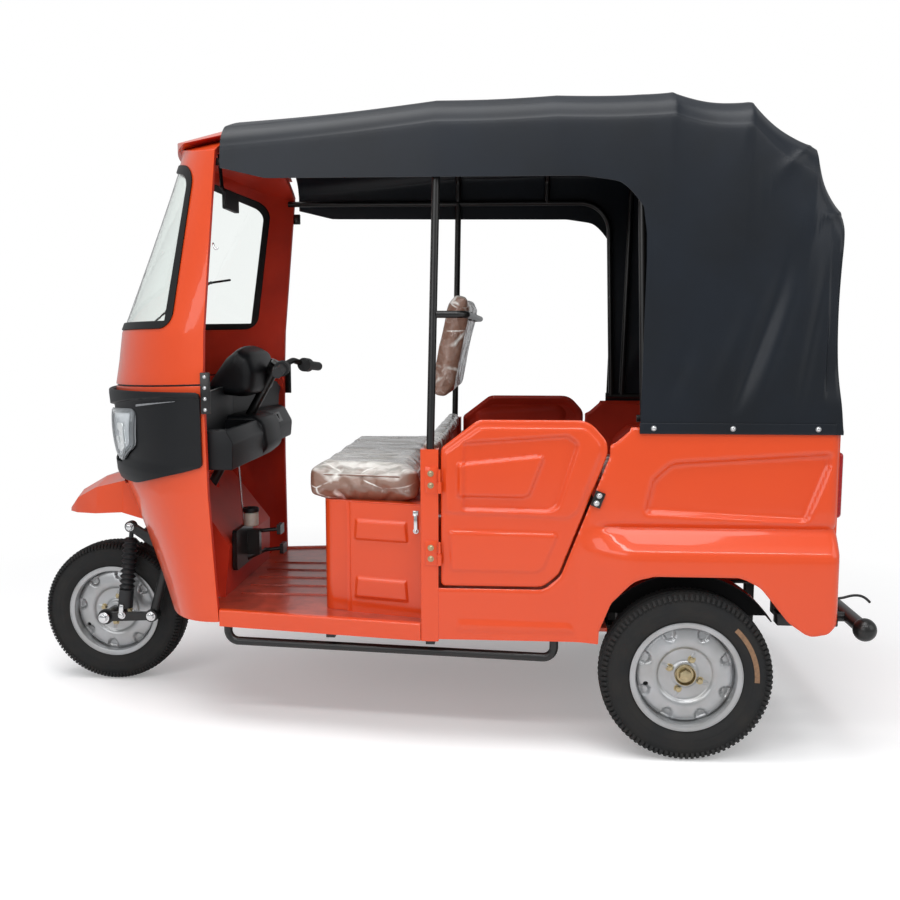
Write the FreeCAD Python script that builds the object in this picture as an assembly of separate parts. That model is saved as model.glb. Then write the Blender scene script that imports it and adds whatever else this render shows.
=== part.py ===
import FreeCAD, Part
import math
import os

V = FreeCAD.Vector

# Millimetres. X points to the front, Y to the left side, Z up.
# The origin is on the ground, under the middle of the length and width.

# Wheels and axles
front_axle_x = 1161.0
wheelbase = 2007.0
rear_track = 1170.0
tyre_od = 520.0
tyre_width = 112.0
rim_od = 338.0
bead_seat_d = 306.0
rim_width = 96.0
rim_well_d = 262.0
rim_metal = 5.0
disc_metal = 6.0
hub_d = 66.0
hub_length = 70.0
axle_d = 24.0
running_gap = 0.05
nut_circle = 100.0
wheel_nut_d = 17.0
valve_hole_d = 13.0

# Steering
rake_deg = 30.0
steer_ground_x = 1215.0
column_d = 34.0
column_top = 1352.0
head_low = 640.0
head_high = 790.0
head_wall = 12.0
crown_low = 560.0
crown_thick = 46.0
fork_half_gap = 82.0
fork_leg_d = 32.0
link_pivot_back = 170.0
link_width = 44.0
link_thick = 12.0
damper_top_z = 566.0
damper_d = 56.0
damper_rod_d = 16.0
damper_eye_d = 40.0
bellows_pitch = 19.0
bar_half_width = 330.0
bar_d = 22.0
grip_d = 34.0
grip_length = 118.0

# Cab
cab_wall = 22.0
shield_bottom_z = 358.0
groove_z = 1092.0
groove_gap = 5.0
glass_thick = 5.0
wiper_reach = 13.1
seal_width = 24.0
seal_proud = 5.0
nose_trim_proud = 12.0
well_half_width = 236.0
well_sheet = 4.0

# Floor, posts and body
floor_z = 392.0
floor_thick = 12.0
sill_bottom_z = 345.0
sill_thick = 26.0
post_front_x = -41.0
post_width = 55.0
post_thick = 40.0
post_top_z = 940.0
post_y = 600.0
pole_d = 24.0
roof_z = 2040.0
body_wall = 22.0
rear_overhang = 439.0
hem_z = 1010.0
tail_low_z = 440.0
flare_y = 650.0
door_thick = 34.0
door_gap = 8.0

# Soft pieces
cushion_thick = 112.0
cushion_front_x = 352.0
backrest_x = -72.0
backrest_low_z = 1066.0
backrest_height = 366.0
backrest_thick = 62.0
backrest_half = 300.0
backrest_lean = 12.0
hood_thick = 5.0
hood_front_x = 567.0
hood_run_out = 60.0
hem_rail_z = 1034.0
soft_gap = 0.3

# Inside the cab and under the floor
cab_rear_x = 626.0
cab_rear_y = 490.0
well_back_x = 668.0
sill_lip = 8.0
rib_pitch = 118.0
rib_height = 5.0
rail_low_z = 330.0
rail_height = 49.8
rail_wide = 42.0
rail_y = 290.0
rail_kick = 142.0
front_cross_x = 720.0
side_rail_d = 27.0
body_low_z = 352.0
sill_end_ahead = 234.0
seat_front_x = 291.0
seat_front_y = 420.0
seat_rear_y = 510.0
seat_base_top_z = 755.0
seat_sheet = 6.0
partition_top_z = 900.0
pole_x = -70.0
frame_z = 1806.0
frame_y = 534.0
frame_tube_d = 22.0
dash_low_z = 852.0
dash_top_z = 985.0
dash_rear_x = 565.0
dash_front_x = 800.0

# Doors and rear body
door_low_z = 520.0
door_top_z = 1030.0
door_rear_ahead = 244.0
door_swage = 6.0
hinge_d = 14.0
hinge_pin_d = 8.0
arch_top_z = 571.0
arch_inner_y = 504.0
deck_z = 524.0
bench_top_z = 690.0
bench_back_gap = 95.0
bumper_reach = 100.9
bumper_z = 397.0
bumper_half = 560.0
bumper_d = 45.0
beam_d = 62.0
diff_d = 208.0
leaf_thick = 7.0

rear_axle_x = front_axle_x - wheelbase
body_rear_x = rear_axle_x - rear_overhang
door_sill_end_x = rear_axle_x + sill_end_ahead
door_rear_x = rear_axle_x + door_rear_ahead
bench_back_x = body_rear_x + bench_back_gap
bumper_x = body_rear_x - bumper_reach
axle_z = tyre_od / 2
rake = math.radians(rake_deg)
column_dir = V(-math.sin(rake), 0, math.cos(rake))
cab_forms = {}


def box(x0, x1, y0, y1, z0, z1):
    low = V(min(x0, x1), min(y0, y1), min(z0, z1))
    return Part.makeBox(abs(x1 - x0), abs(y1 - y0), abs(z1 - z0), low)


def rod(p, q, d):
    return Part.makeCylinder(d / 2, (q - p).Length, p, q - p)


def polygon_face(points):
    return Part.Face(Part.makePolygon(points + [points[0]]))


def side_prism(points, y0, y1):
    """Solid of a side view outline of (x, z) points, between two y planes."""
    face = polygon_face([V(x, y0, z) for x, z in points])
    return face.extrude(V(0, y1 - y0, 0))


def front_prism(points, x0, x1):
    """Solid of a front view outline of (y, z) points, between two x planes."""
    face = polygon_face([V(x0, y, z) for y, z in points])
    return face.extrude(V(x1 - x0, 0, 0))


def plan_prism(points, z0, z1):
    face = polygon_face([V(x, y, z0) for x, y in points])
    return face.extrude(V(0, 0, z1 - z0))


def round_edges(shape, radius, wanted):
    """Fillet the edges whose middle and direction the test accepts."""
    picked = []
    for edge in shape.Edges:
        start, end = edge.Vertexes[0].Point, edge.Vertexes[-1].Point
        if wanted((start + end) * 0.5, end - start):
            picked.append(edge)
    return shape.makeFillet(radius, picked) if picked else shape


def along_y(middle, way):
    return way.Length > 1 and abs(way.y) > 0.99 * way.Length


def bent_path(points, radius):
    """Wire of straight runs joined by tangent arcs."""
    edges = []
    start = points[0]
    for i in range(1, len(points) - 1):
        corner = points[i]
        a = (points[i - 1] - corner).normalize()
        b = (points[i + 1] - corner).normalize()
        half = a.getAngle(b) / 2
        back = radius / math.tan(half)
        p, q = corner + a * back, corner + b * back
        middle = (a + b).normalize()
        top = corner + middle * (radius / math.sin(half) - radius)
        edges.append(Part.makeLine(start, p))
        edges.append(Part.Arc(p, top, q).toShape())
        start = q
    edges.append(Part.makeLine(start, points[-1]))
    return Part.Wire(edges)


def tube(points, d, radius):
    """Straight runs joined by bends, each bend a turned section."""
    edges = bent_path(points, radius).Edges
    parts = []
    for i, edge in enumerate(edges):
        a = edge.valueAt(edge.FirstParameter)
        if i % 2 == 0:
            parts.append(rod(a, edge.valueAt(edge.LastParameter), d))
            continue
        bend = edge.Curve
        ring = Part.Face(Part.Wire(Part.makeCircle(d / 2, a, edge.tangentAt(edge.FirstParameter))))
        turn = math.degrees(edge.LastParameter - edge.FirstParameter)
        parts.append(ring.revolve(bend.Center, bend.Axis, turn))
    return fused(parts)


def mirrored(shape):
    return shape.mirror(V(0, 0, 0), V(0, 1, 0))


def both_sides(shape):
    return Part.makeCompound([shape, mirrored(shape)])


def fused(shapes):
    whole = shapes[0].fuse(shapes[1:]) if len(shapes) > 1 else shapes[0]
    return whole.removeSplitter()


def save(name, shape):
    shape.exportStep("parts/" + name + ".step")


def turned(profile, x, y, outward):
    """Revolve (axial, radius) points about the wheel's axle line."""
    points = [V(x, y + outward * a, axle_z + r) for a, r in profile]
    face = polygon_face(points)
    return face.revolve(V(x, y, axle_z), V(0, 1, 0), 360)


def tyre(x, y, outward):
    half = tyre_width / 2
    outer = tyre_od / 2
    seat = bead_seat_d / 2
    bead = rim_width / 2 - rim_metal - soft_gap
    flange = rim_od / 2 + 2
    right = [(half * 0.66, outer), (half * 0.94, outer - 22), (half, outer - 48), (bead, flange), (bead, seat)]
    left = [(-a, r) for a, r in reversed(right)]
    return turned(left + right, x, y, outward)


def rim(x, y, outward, dish, hub_out):
    """Pressed steel disc wheel: a well barrel with flanges and a dished disc."""
    half = rim_width / 2
    seat = bead_seat_d / 2
    well = rim_well_d / 2
    lip = rim_od / 2
    m = rim_metal
    outer = [(-half, lip), (-half + m, lip), (-half + m, seat), (-half + 24, seat)]
    outer += [(-half + 30, well), (half - 38, well), (half - 26, seat), (half - m, seat)]
    outer += [(half - m, lip), (half, lip)]
    inner = [(half, seat - m), (half - 26, seat - m), (half - 40, well - m)]
    inner += [(-half + 32, well - m), (-half + 22, seat - m), (-half, seat - m)]
    barrel = turned(outer + inner, x, y, outward)
    d = disc_metal
    ring = nut_circle / 2 + 12
    face = [(8, well - m + 0.5), (8 + dish, well - 26), (8 + dish, ring + 22), (dish - 6, ring)]
    face += [(dish - 6, hub_d / 2 - 4)]
    back = [(a - d, r) for a, r in reversed(face)]
    disc = turned(face + back, x, y, outward)
    bore = axle_d / 2 + running_gap
    hub_in = hub_out - hub_length
    hub = turned([(hub_out, bore), (hub_out, hub_d / 2), (hub_in, hub_d / 2), (hub_in, bore)], x, y, outward)
    parts = [barrel, disc, hub]
    for k in range(4):
        angle = math.radians(45 + 90 * k)
        r = nut_circle / 2
        foot = V(x + r * math.cos(angle), y + outward * (dish - 8), axle_z + r * math.sin(angle))
        parts.append(rod(foot, foot + V(0, outward * 18, 0), wheel_nut_d))
    whole = fused(parts)
    hole_r = (well + ring + 22) / 2 - 4
    start = V(x + hole_r, y - half, axle_z)
    return whole.cut(rod(start, start + V(0, rim_width, 0), valve_hole_d))


def on_column(s, side=0.0, forward=0.0):
    """Point at s along the steering axis, to one side and ahead of it."""
    ahead = V(math.cos(rake), 0, math.sin(rake))
    return V(steer_ground_x, side, 0) + column_dir * s + ahead * forward


def steering_column():
    column = rod(on_column(crown_low + 2), on_column(column_top), column_d)
    boss = rod(on_column(column_top - 36), on_column(column_top + 14), column_d + 26)
    rise = [on_column(column_top - 10, 0, 0), on_column(column_top - 10, 60, 0)]
    rise += [on_column(column_top + 26, 150, -14)]
    rise += [on_column(column_top + 30, bar_half_width - grip_length - 6, -60)]
    rise += [on_column(column_top + 30, bar_half_width, -78)]
    bar = tube(rise, bar_d, 34)
    return fused([column, boss, bar, mirrored(bar)])


def handlebar_grips():
    start = on_column(column_top + 30, bar_half_width - grip_length - 6, -60)
    end = on_column(column_top + 30, bar_half_width, -78)
    way = (end - start).normalize()
    grip = rod(end - way * grip_length, end + way * 6, grip_d)
    cluster = rod(end - way * (grip_length + 44), end - way * (grip_length + 2), grip_d + 18)
    return both_sides(fused([grip, cluster]).cut(steering_column()))


def fork():
    """Crown over the tyre, two legs to the link pivots, and damper ears."""
    low, high = on_column(crown_low), on_column(crown_low + crown_thick)
    block = rod(low, high, column_d + 34)
    y = damper_y()
    mid = on_column(crown_low + crown_thick / 2)
    bridge = rod(mid - V(0, y + 20, 0), mid + V(0, y + 20, 0), fork_leg_d + 12)
    pivot = V(front_axle_x - link_pivot_back, y, axle_z + 6)
    side = V(0, y, 0)
    leg = rod(mid + side, pivot, fork_leg_d)
    boss = rod(pivot - V(0, fork_leg_d / 2, 0), pivot + V(0, fork_leg_d / 2, 0), 46)
    eye_at = damper_eye()
    ear = side_prism([(mid.x + 4, mid.z + 20), (mid.x + 20, mid.z - 12), (eye_at.x + 6, eye_at.z - 14),
                      (eye_at.x - 6, eye_at.z + 14)], y - 9, y + 9)
    eye = rod(eye_at - V(0, 12, 0), eye_at + V(0, 12, 0), damper_eye_d)
    half = leg.fuse([boss, ear, eye])
    return block.fuse([bridge, half, mirrored(half)]).cut(rod(low - column_dir * 5, high + column_dir * 60, column_d))


def damper_foot():
    return V(front_axle_x - 62, damper_y(), axle_z + 8)


def damper_top():
    return V(front_axle_x - 98, damper_y(), damper_top_z)


def leading_links():
    """Link arms from the leg ends forward to the axle, with damper clevises."""
    y = fork_half_gap + fork_leg_d / 2
    inner = y + fork_leg_d / 2 + soft_gap
    back = V(front_axle_x - link_pivot_back, inner, axle_z + 6)
    front = V(front_axle_x, inner, axle_z)
    wide = V(0, link_thick, 0)
    arm = side_prism([(back.x, back.z - 15), (front.x, front.z - 17), (front.x, front.z + 17),
                      (back.x, back.z + 15)], inner, inner + link_thick)
    parts = [arm, rod(back, back + wide, link_width), rod(front, front + wide, link_width + 12)]
    foot = damper_foot()
    parts.append(rod(V(foot.x, inner, foot.z), V(foot.x, inner, foot.z) + wide, 36))
    parts.append(rod(V(foot.x, inner, foot.z) - V(0, 28, 0), V(foot.x, inner, foot.z), 16))
    arm = fused(parts)
    axle_hole = rod(V(front.x, 0, front.z), V(front.x, inner + 60, front.z), axle_d)
    return both_sides(arm.cut(axle_hole))


def front_axle():
    """Axle bar with spacers between hub and links, and a nut at each end."""
    inner = fork_half_gap + fork_leg_d + soft_gap
    reach = inner + link_thick + 14
    middle = V(front_axle_x, 0, axle_z)
    bar = rod(middle - V(0, reach, 0), middle + V(0, reach, 0), axle_d)
    spacer = rod(middle + V(0, hub_length / 2 + 1, 0), middle + V(0, inner - 0.3, 0), axle_d + 14)
    nut = rod(middle + V(0, inner + link_thick + 0.3, 0), middle + V(0, inner + link_thick + 12, 0), 38)
    return fused([bar, spacer, mirrored(spacer), nut, mirrored(nut)])


def front_dampers():
    """Ribbed bellows over a rod, between the clevis and the fork's eye."""
    foot, top = damper_foot(), damper_top()
    way = (top - foot).normalize()
    length = (top - foot).Length
    parts = [rod(foot + way * 9, top + way * 12, damper_rod_d)]
    parts.append(rod(foot + way * 24, foot + way * 92, damper_d - 4))
    turns = int((length - 110) / bellows_pitch)
    for k in range(turns):
        low = foot + way * (92 + k * bellows_pitch)
        half = bellows_pitch / 2
        parts.append(Part.makeCone(damper_d / 2 - 9, damper_d / 2, half, low, way))
        parts.append(Part.makeCone(damper_d / 2, damper_d / 2 - 9, half, low + way * half, way))
    body = fused(parts)
    body = body.cut(rod(foot - V(0, 30, 0), foot + V(0, 30, 0), 16 + 2 * soft_gap))
    return both_sides(body.cut(fork()))


def build_wheels_and_steering():
    save("front_tyre", tyre(front_axle_x, 0, 1))
    save("front_rim", rim(front_axle_x, 0, 1, 14, hub_length / 2))
    for name, side in (("left", 1), ("right", -1)):
        y = side * rear_track / 2
        save("rear_%s_tyre" % name, tyre(rear_axle_x, y, side))
        save("rear_%s_rim" % name, rim(rear_axle_x, y, side, 18, 20))
    save("steering_column", steering_column())
    save("handlebar_grips", handlebar_grips())
    save("handlebar_cover", handlebar_cover())
    save("front_fork", fork())
    save("leading_links", Part.makeCompound([leading_links(), front_axle()]))
    save("front_dampers", front_dampers())


def plan_wire(level, z, inset, back):
    """Closed plan outline of the cab at one height, bowed round the front."""
    rear_x, rear_y, side_x, side_y, mid_x, mid_y, front_x = level
    half = [V(rear_x, rear_y - inset, z), V(side_x - 0.3 * inset, side_y - inset, z),
            V(mid_x - 0.75 * inset, mid_y - 0.6 * inset, z)]
    nose = V(front_x - inset, 0, z)
    other = [V(p.x, -p.y, p.z) for p in reversed(half)]
    points = half + [nose] + other
    curve = Part.BSplineCurve()
    curve.interpolate(points)
    ends = [points[-1], points[-1] - V(back, 0, 0), points[0] - V(back, 0, 0), points[0]]
    lines = [Part.makeLine(a, b) for a, b in zip(ends, ends[1:]) if (b - a).Length > 0]
    return Part.Wire([curve.toShape()] + lines)


def cab_stations():
    """Heights with rear x, y, side x, y, mid x, y and front x of the outline."""
    hem = [626, 490, 706, 480, 836, 316, 878]
    waist = [638, 530, 740, 516, 1007, 250, 1056]
    groove = [638, 546, 744, 528, 1036, 250, 1084]
    scuttle = [632, 548, 736, 530, 1008, 250, 1052]
    brow = [580, 548, 662, 480, 796, 200, 822]
    crest = [570, 548, 650, 482, 800, 200, 828]
    return [(shield_bottom_z, hem), (780, waist), (groove_z, groove), (1290, scuttle), (1850, brow), (2060, crest)]


def cab_solid(z0, z1, inset, back=0.0):
    return cab_form(inset, back).common(box(0, 1600, -900, 900, z0, z1))


def below_arch(drop):
    """Everything under the cab roof's crown, which falls to the front."""
    crown_radius, crown_top, rear = 1300.0, 1985.0 - drop, 500.0
    reach = 640.0
    sag = crown_radius - math.sqrt(crown_radius ** 2 - reach ** 2)
    top = 0.24 * (575 - rear) + crown_top
    left, right = V(rear, -reach, top - sag), V(rear, reach, top - sag)
    arch = Part.Arc(left, V(rear, 0, top), right).toShape()
    foot = [right, V(rear, reach, 0), V(rear, -reach, 0), left]
    sides = [Part.makeLine(a, b) for a, b in zip(foot, foot[1:])]
    return Part.Face(Part.Wire([arch] + sides)).extrude(V(600, 0, -0.24 * 600))


def screen_prism(grow, radius):
    """Side view of the windscreen opening, grown or shrunk evenly."""
    low_rear, high_rear = (741 - grow, 1303 - grow), (663 - grow * 1.1, 1793 + grow)
    points = [low_rear, (1300, 1292 - grow), (1300, 1900 + grow), (830, 1848 + grow), high_rear]
    solid = side_prism(points, -700, 700)
    return round_edges(solid, radius, lambda m, way: along_y(m, way) and m.x < 760)


def windscreen_frame():
    shell = upper_cab(0).common(below_arch(26))
    return shell.cut(cab_room()).cut(screen_prism(0, 60))


def windscreen_seal():
    ring = upper_cab(-seal_proud).cut(upper_cab(16, 80)).common(screen_slab())
    return ring.common(screen_prism(0, 60)).cut(screen_prism(-seal_width, 44))


def windscreen_glass():
    sheet = upper_cab(3).cut(upper_cab(3 + glass_thick, 80)).common(screen_slab())
    return sheet.common(screen_prism(-seal_width, 44))


def roof_visor():
    """Crowned roof skin of the cab with a lip over the windscreen."""
    cap = upper_cab(-14).common(below_arch(0))
    skin = cap.cut(upper_cab(0, 80).common(below_arch(26)))
    lip_line = side_prism([(500, 1900), (700, 1876), (900, 1862), (1000, 2200), (500, 2200)], -700, 700)
    return skin.common(lip_line)


def apron_opening(grow, x0, x1):
    """Gap between the leg shields, narrower at the top."""
    low, high = 316 - grow, well_half_width - grow
    return front_prism([(-low, 300), (low, 300), (high, 790 - grow), (-high, 790 - grow)], x0, x1)


def leg_shields():
    shell = lower_cab(0).cut(lower_cab(cab_wall, 80))
    return shell.cut(apron_opening(0, 760, 1300))


def well_side_view(grow):
    points = [(668 + grow, 300), (652 + grow, 560), (800, 770 - grow), (1100, 790 - grow), (1100, 300)]
    return side_prism(points, -500, 500)


def wheel_well():
    """Toe board and side sheets round the front wheel, up to the column."""
    outer = apron_opening(-well_sheet, 600, 1100).common(well_side_view(-well_sheet))
    inner = apron_opening(0, 590, 1101).common(well_side_view(0))
    room = lower_cab(cab_wall + soft_gap, 80).common(box(0, 2000, -700, 700, floor_z, groove_z))
    sheet = outer.cut(inner).common(room)
    return sheet.cut(rod(on_column(700), on_column(1000), column_d + 26))


def nose_panel():
    """Black wrap-around moulding over the nose, its ends cut square."""
    skin = lower_cab(-nose_trim_proud).cut(lower_cab(-soft_gap, 80))
    outline = [(676, 836), (900, 802), (1300, 774), (1300, 1078), (676, 1062)]
    panel = skin.common(side_prism(outline, -700, 700))
    for side in (1, -1):
        panel = panel.cut(lamp_block(side, 0))
    return panel


def lamp_block(side, inset):
    """Upright opening at the nose corner, leaning back at its foot."""
    i = inset
    outline = [(250 + i, 1010 - i), (395 - i, 1004 - i), (372 - i, 862 + i), (300, 842 + i), (262 + i, 880 + i)]
    points = [(side * y, z) for y, z in outline]
    return front_prism(points, 880, 1200)


def headlamps():
    lamps = []
    for side in (1, -1):
        lens = lower_cab(1 - nose_trim_proud).cut(lower_cab(-soft_gap, 80))
        lamps.append(lens.common(lamp_block(side, soft_gap)))
    return Part.makeCompound(lamps)


def front_mudguard():
    """Beak over the wheel with a raised crease, hollow underneath."""
    stations = [(930, 250, 640, 800, 815), (1040, 236, 668, 776, 800), (1160, 176, 652, 744, 772),
                (1262, 96, 640, 694, 716), (1316, 30, 634, 646, 652)]
    outer = Part.makeLoft([mudguard_wire(s, 0) for s in stations], True, True)
    inner = Part.makeLoft([mudguard_wire(s, 9) for s in stations[:-1]], True, True)
    beak = outer.cut(inner).cut(lower_cab(-soft_gap, 80))
    return beak.cut(lower_cab(-nose_trim_proud - soft_gap, 80).common(box(0, 2000, -700, 700, 770, 1100)))


def build_cab():
    save("windscreen_frame", windscreen_frame())
    save("windscreen_seal", windscreen_seal())
    save("windscreen_glass", windscreen_glass())
    save("roof_visor", roof_visor())
    save("leg_shields", leg_shields())
    save("wheel_well", wheel_well())
    save("nose_panel", nose_panel())
    save("headlamps", headlamps())
    save("front_mudguard", front_mudguard())


def taper_y(x):
    """Half width of the sill line: narrow at the cab, wide at the posts."""
    share = (cab_rear_x - x) / (cab_rear_x - post_front_x)
    return cab_rear_y + (post_y - cab_rear_y) * min(share, 1.0)


def floor_pan():
    """Ribbed floor plate with rolled sills along both edges."""
    front, rear = well_back_x + 8, door_sill_end_x
    edge = sill_thick - 2
    post_in = post_y - post_thick - soft_gap
    ahead, behind = post_front_x + soft_gap, post_front_x - post_width - soft_gap
    plan = [(front, 436), (cab_rear_x - 1, taper_y(cab_rear_x) - sill_thick), (ahead, post_y - edge)]
    plan += [(ahead, post_in), (behind, post_in), (behind, post_y - body_wall - soft_gap)]
    plan += [(rear, post_y - body_wall - soft_gap)]
    outline = plan + [(x, -y) for x, y in reversed(plan)]
    parts = [plan_prism(outline, floor_z - floor_thick, floor_z)]
    for k in range(5):
        y = rib_pitch * (k - 2)
        rib = box(seat_front_x + 26, front - 60, y - 24, y + 24, floor_z - 1, floor_z + rib_height)
        parts.append(round_edges(rib, 3, lambda m, way: m.z > floor_z + 2 and abs(way.z) < 1))
    sill = sill_member()
    return fused(parts + [sill, mirrored(sill)])


def chassis_frame():
    """Two kicked-up rails with cross members, the steering head and the step rails."""
    low, high = rail_low_z, rail_low_z + rail_height
    up = rail_kick
    x0, x1 = front_cross_x + 25, body_rear_x + 45
    kick = door_sill_end_x - 10
    line = [(x0, low), (kick, low), (kick - 100, low + up), (x1, low + up), (x1, high + up), (kick - 120, high + up)]
    line += [(kick - 20, high), (x0, high)]
    rail = side_prism(line, rail_y - rail_wide / 2, rail_y + rail_wide / 2)
    parts = [rail, mirrored(rail)]
    for x in (front_cross_x, 300, -40, kick + 142):
        parts.append(box(x - 20, x + 20, -rail_y, rail_y, low + 2, high - 2))
    for x in (kick - 150, x1 + 20):
        parts.append(box(x - 20, x + 20, -rail_y, rail_y, low + up + 2, high + up - 2))
    for x in (250, -70):
        reach = taper_y(x) - 4
        parts.append(box(x - 14, x + 14, -reach, reach, low + 4, sill_bottom_z - soft_gap))
    ladder = fused(parts)
    return Part.makeCompound([ladder, steering_head().cut(ladder)] + side_rails().Solids)


def side_rails():
    """Black tube steps under the sills, turned up into them at both ends."""
    low = sill_bottom_z - 48
    front, rear = cab_rear_x - 28, rear_axle_x + 396
    a, b = taper_y(front) - 14, post_y - 14
    points = [V(front, a, sill_bottom_z - soft_gap), V(front, a, low)]
    points += [V(rear, b, low), V(rear, b, body_low_z - soft_gap)]
    return both_sides(tube(points, side_rail_d, 34))


def door_posts():
    x0, x1 = post_front_x - post_width, post_front_x
    post = box(x0, x1, post_y - post_thick, post_y, sill_bottom_z, post_top_z)
    post = round_edges(post, 6, lambda m, way: m.y > post_y - 1 and abs(way.z) > 100 and m.x > x1 - 1)
    parts = [post]
    for z in hinge_heights():
        axis = hinge_point(z)
        leaf = box(axis.x, axis.x + 40, post_y - 2, post_y + 3, z - 34, z)
        leaf = leaf.cut(box(axis.x, x0 - 0.01, post_y - 3, post_y, z - 40, z + 1))
        knuckle = rod(axis - V(0, 0, 34), axis, hinge_d)
        pin = rod(axis - V(0, 0, 2), axis + V(0, 0, 38), hinge_pin_d)
        parts += [leaf, knuckle, pin]
    return both_sides(fused(parts))


def partition():
    """Panel between the posts behind the driver, swaged across the middle."""
    x1 = post_front_x - 14
    reach = post_y - post_thick - soft_gap
    low = partition_top_z - 40
    points = [(x1, floor_z), (x1, 520), (x1 - 12, 540), (x1 - 12, 700), (x1, 720), (x1, partition_top_z)]
    points += [(x1 - 20, partition_top_z), (x1 - 20, 726), (x1 - 32, 706), (x1 - 32, 534), (x1 - 20, 514)]
    points += [(x1 - 20, floor_z)]
    panel = side_prism(points, -reach, reach)
    rail = box(x1 - 26, x1 + 6, -reach, reach, low, partition_top_z)
    return fused([panel, rail])


def partition_pad():
    x1 = post_front_x - 14
    reach = post_y - post_thick - 6
    pad = box(x1 - 36, x1 + 16, -reach, reach, partition_top_z + soft_gap, partition_top_z + 62)
    return round_edges(pad, 18, lambda m, way: m.z > partition_top_z + 20)


def roof_poles():
    foot = V(pole_x, post_y - post_thick / 2, post_top_z - 5)
    top = V(pole_x - 16, frame_y, frame_z)
    return rod(foot, top, pole_d).cut(door_posts())


def seat_base():
    """Pressed box under the driver, with two raised panels on each side."""
    x0, x1 = partition_face_x() + soft_gap, seat_front_x
    y0, y1 = seat_rear_y, seat_front_y
    plan = [(x0, y0), (x1, y1), (x1, -y1), (x0, -y0)]
    outer = plan_prism(plan, floor_z, seat_base_top_z)
    outer = round_edges(outer, 42, lambda m, way: m.x > x1 - 5 and abs(way.z) > 100)
    w = seat_sheet
    plan = [(x0 + w, y0 - w), (x1 - w, y1 - w), (x1 - w, w - y1), (x0 + w, w - y0)]
    inner = plan_prism(plan, floor_z - 1, seat_base_top_z - w)
    inner = round_edges(inner, 36, lambda m, way: m.x > x1 - w - 5 and abs(way.z) > 100)
    shell = outer.cut(inner)
    panels = []
    for z0, z1 in ((468, 548), (628, 706)):
        panels.append(seat_panel(z0, z1, 1))
        panels.append(seat_panel(z0, z1, -1))
    return fused([shell] + panels)


def seat_panel(z0, z1, side):
    x0, x1 = 6.0, 190.0
    slope = (seat_rear_y - seat_front_y) / (seat_front_x - partition_face_x())
    ya = seat_front_y + slope * (seat_front_x - x1)
    yb = seat_front_y + slope * (seat_front_x - x0)
    plan = [(x1, side * (ya - 2)), (x0, side * (yb - 2)), (x0, side * (yb + 5)), (x1, side * (ya + 5))]
    return plan_prism(plan, z0, z1)


def partition_face_x():
    return post_front_x - 8


def engine_block():
    return box(20, 250, -150, 150, floor_z, 640)


def driver_cushion():
    low = seat_base_top_z + soft_gap
    plan = [(partition_face_x() + 14, seat_rear_y - 6), (cushion_front_x, seat_front_y + 26)]
    plan += [(x, -y) for x, y in reversed(plan)]
    pad = plan_prism(plan, low, low + cushion_thick)
    pad = round_edges(pad, 44, lambda m, way: abs(way.z) > 80)
    return round_edges(pad, 26, lambda m, way: abs(way.z) < 1)


def backrest_dir():
    lean = math.radians(backrest_lean)
    return V(-math.sin(lean), 0, math.cos(lean))


def driver_backrest():
    pad = box(-backrest_thick / 2, backrest_thick / 2, -backrest_half, backrest_half, 0, backrest_height)
    pad = round_edges(pad, 22, lambda m, way: True)
    pad.rotate(V(0, 0, 0), V(0, 1, 0), -backrest_lean)
    pad.translate(V(backrest_x, 0, backrest_low_z))
    return pad


def backrest_frame():
    """Roof poles with the tube hoop between them, round the back of the pad."""
    z = backrest_low_z + backrest_height * 0.76
    at = pole_at(z)
    back = (V(backrest_x, 0, backrest_low_z) + backrest_dir() * (backrest_height * 0.76)).x
    hoop_x = back - backrest_thick / 2 - frame_tube_d / 2 - 5
    start = V(at.x - pole_d / 2 + 3, at.y, z)
    points = [start, V(hoop_x, at.y - 10, z), V(hoop_x, -at.y + 10, z), V(start.x, -at.y, z)]
    parts = [tube(points, frame_tube_d, 40)]
    for side in (1, -1):
        parts.append(rod(V(hoop_x, side * 180, z), V(hoop_x + frame_tube_d / 2 + 8, side * 180, z), 30))
    pole = roof_poles()
    whole = fused(parts + [pole, mirrored(pole)])
    return whole.cut(driver_backrest()).cut(hood_rails())


def dashboard():
    """Shelf with an open tray, a switch box and a cover round the column."""
    low, top = dash_low_z, dash_top_z
    rear, front = dash_rear_x, dash_front_x
    left = box(rear, front, 128, 560, low, top)
    tray = dash_tray()
    right = side_prism([(rear - 8, low + 10), (rear + 14, top - 4), (rear + 90, top + 16), (front, top + 16),
                        (front, low)], -560, -128)
    cover = side_prism([(rear - 22, low + 26), (rear - 8, top + 6), (rear + 60, top + 26), (front + 30, top + 26),
                        (front + 30, low - 24), (rear + 40, low - 24)], -130, 130)
    cover = round_edges(cover, 16, lambda m, way: along_y(m, way) and m.x < rear + 70)
    body = fused([left.cut(tray), right, cover])
    body = body.common(lower_cab(cab_wall + soft_gap, 120))
    return body.cut(rod(on_column(700), on_column(1290), column_d + 14)).cut(tray)


def handlebar_cover():
    """Instrument hood that turns with the bar."""
    outline = [(26, -60), (26, 56), (46, 60), (176, -6), (214, -44), (190, -84), (60, -104)]
    centre = on_column(column_top - 20)
    points = [(centre.x + x, centre.z + z) for x, z in outline]
    hood = side_prism(points, -150, 150)
    hood = round_edges(hood, 14, lambda m, way: along_y(m, way) and m.x > centre.x + 30)
    slot = rod(on_column(column_top - 200), on_column(column_top + 40), column_d + 26 + 2 * soft_gap)
    bar_room = rod(on_column(column_top - 10, -200, 0), on_column(column_top - 10, 200, 0), bar_d + 2 * soft_gap)
    return hood.cut(slot).cut(bar_room).cut(steering_column())


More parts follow.
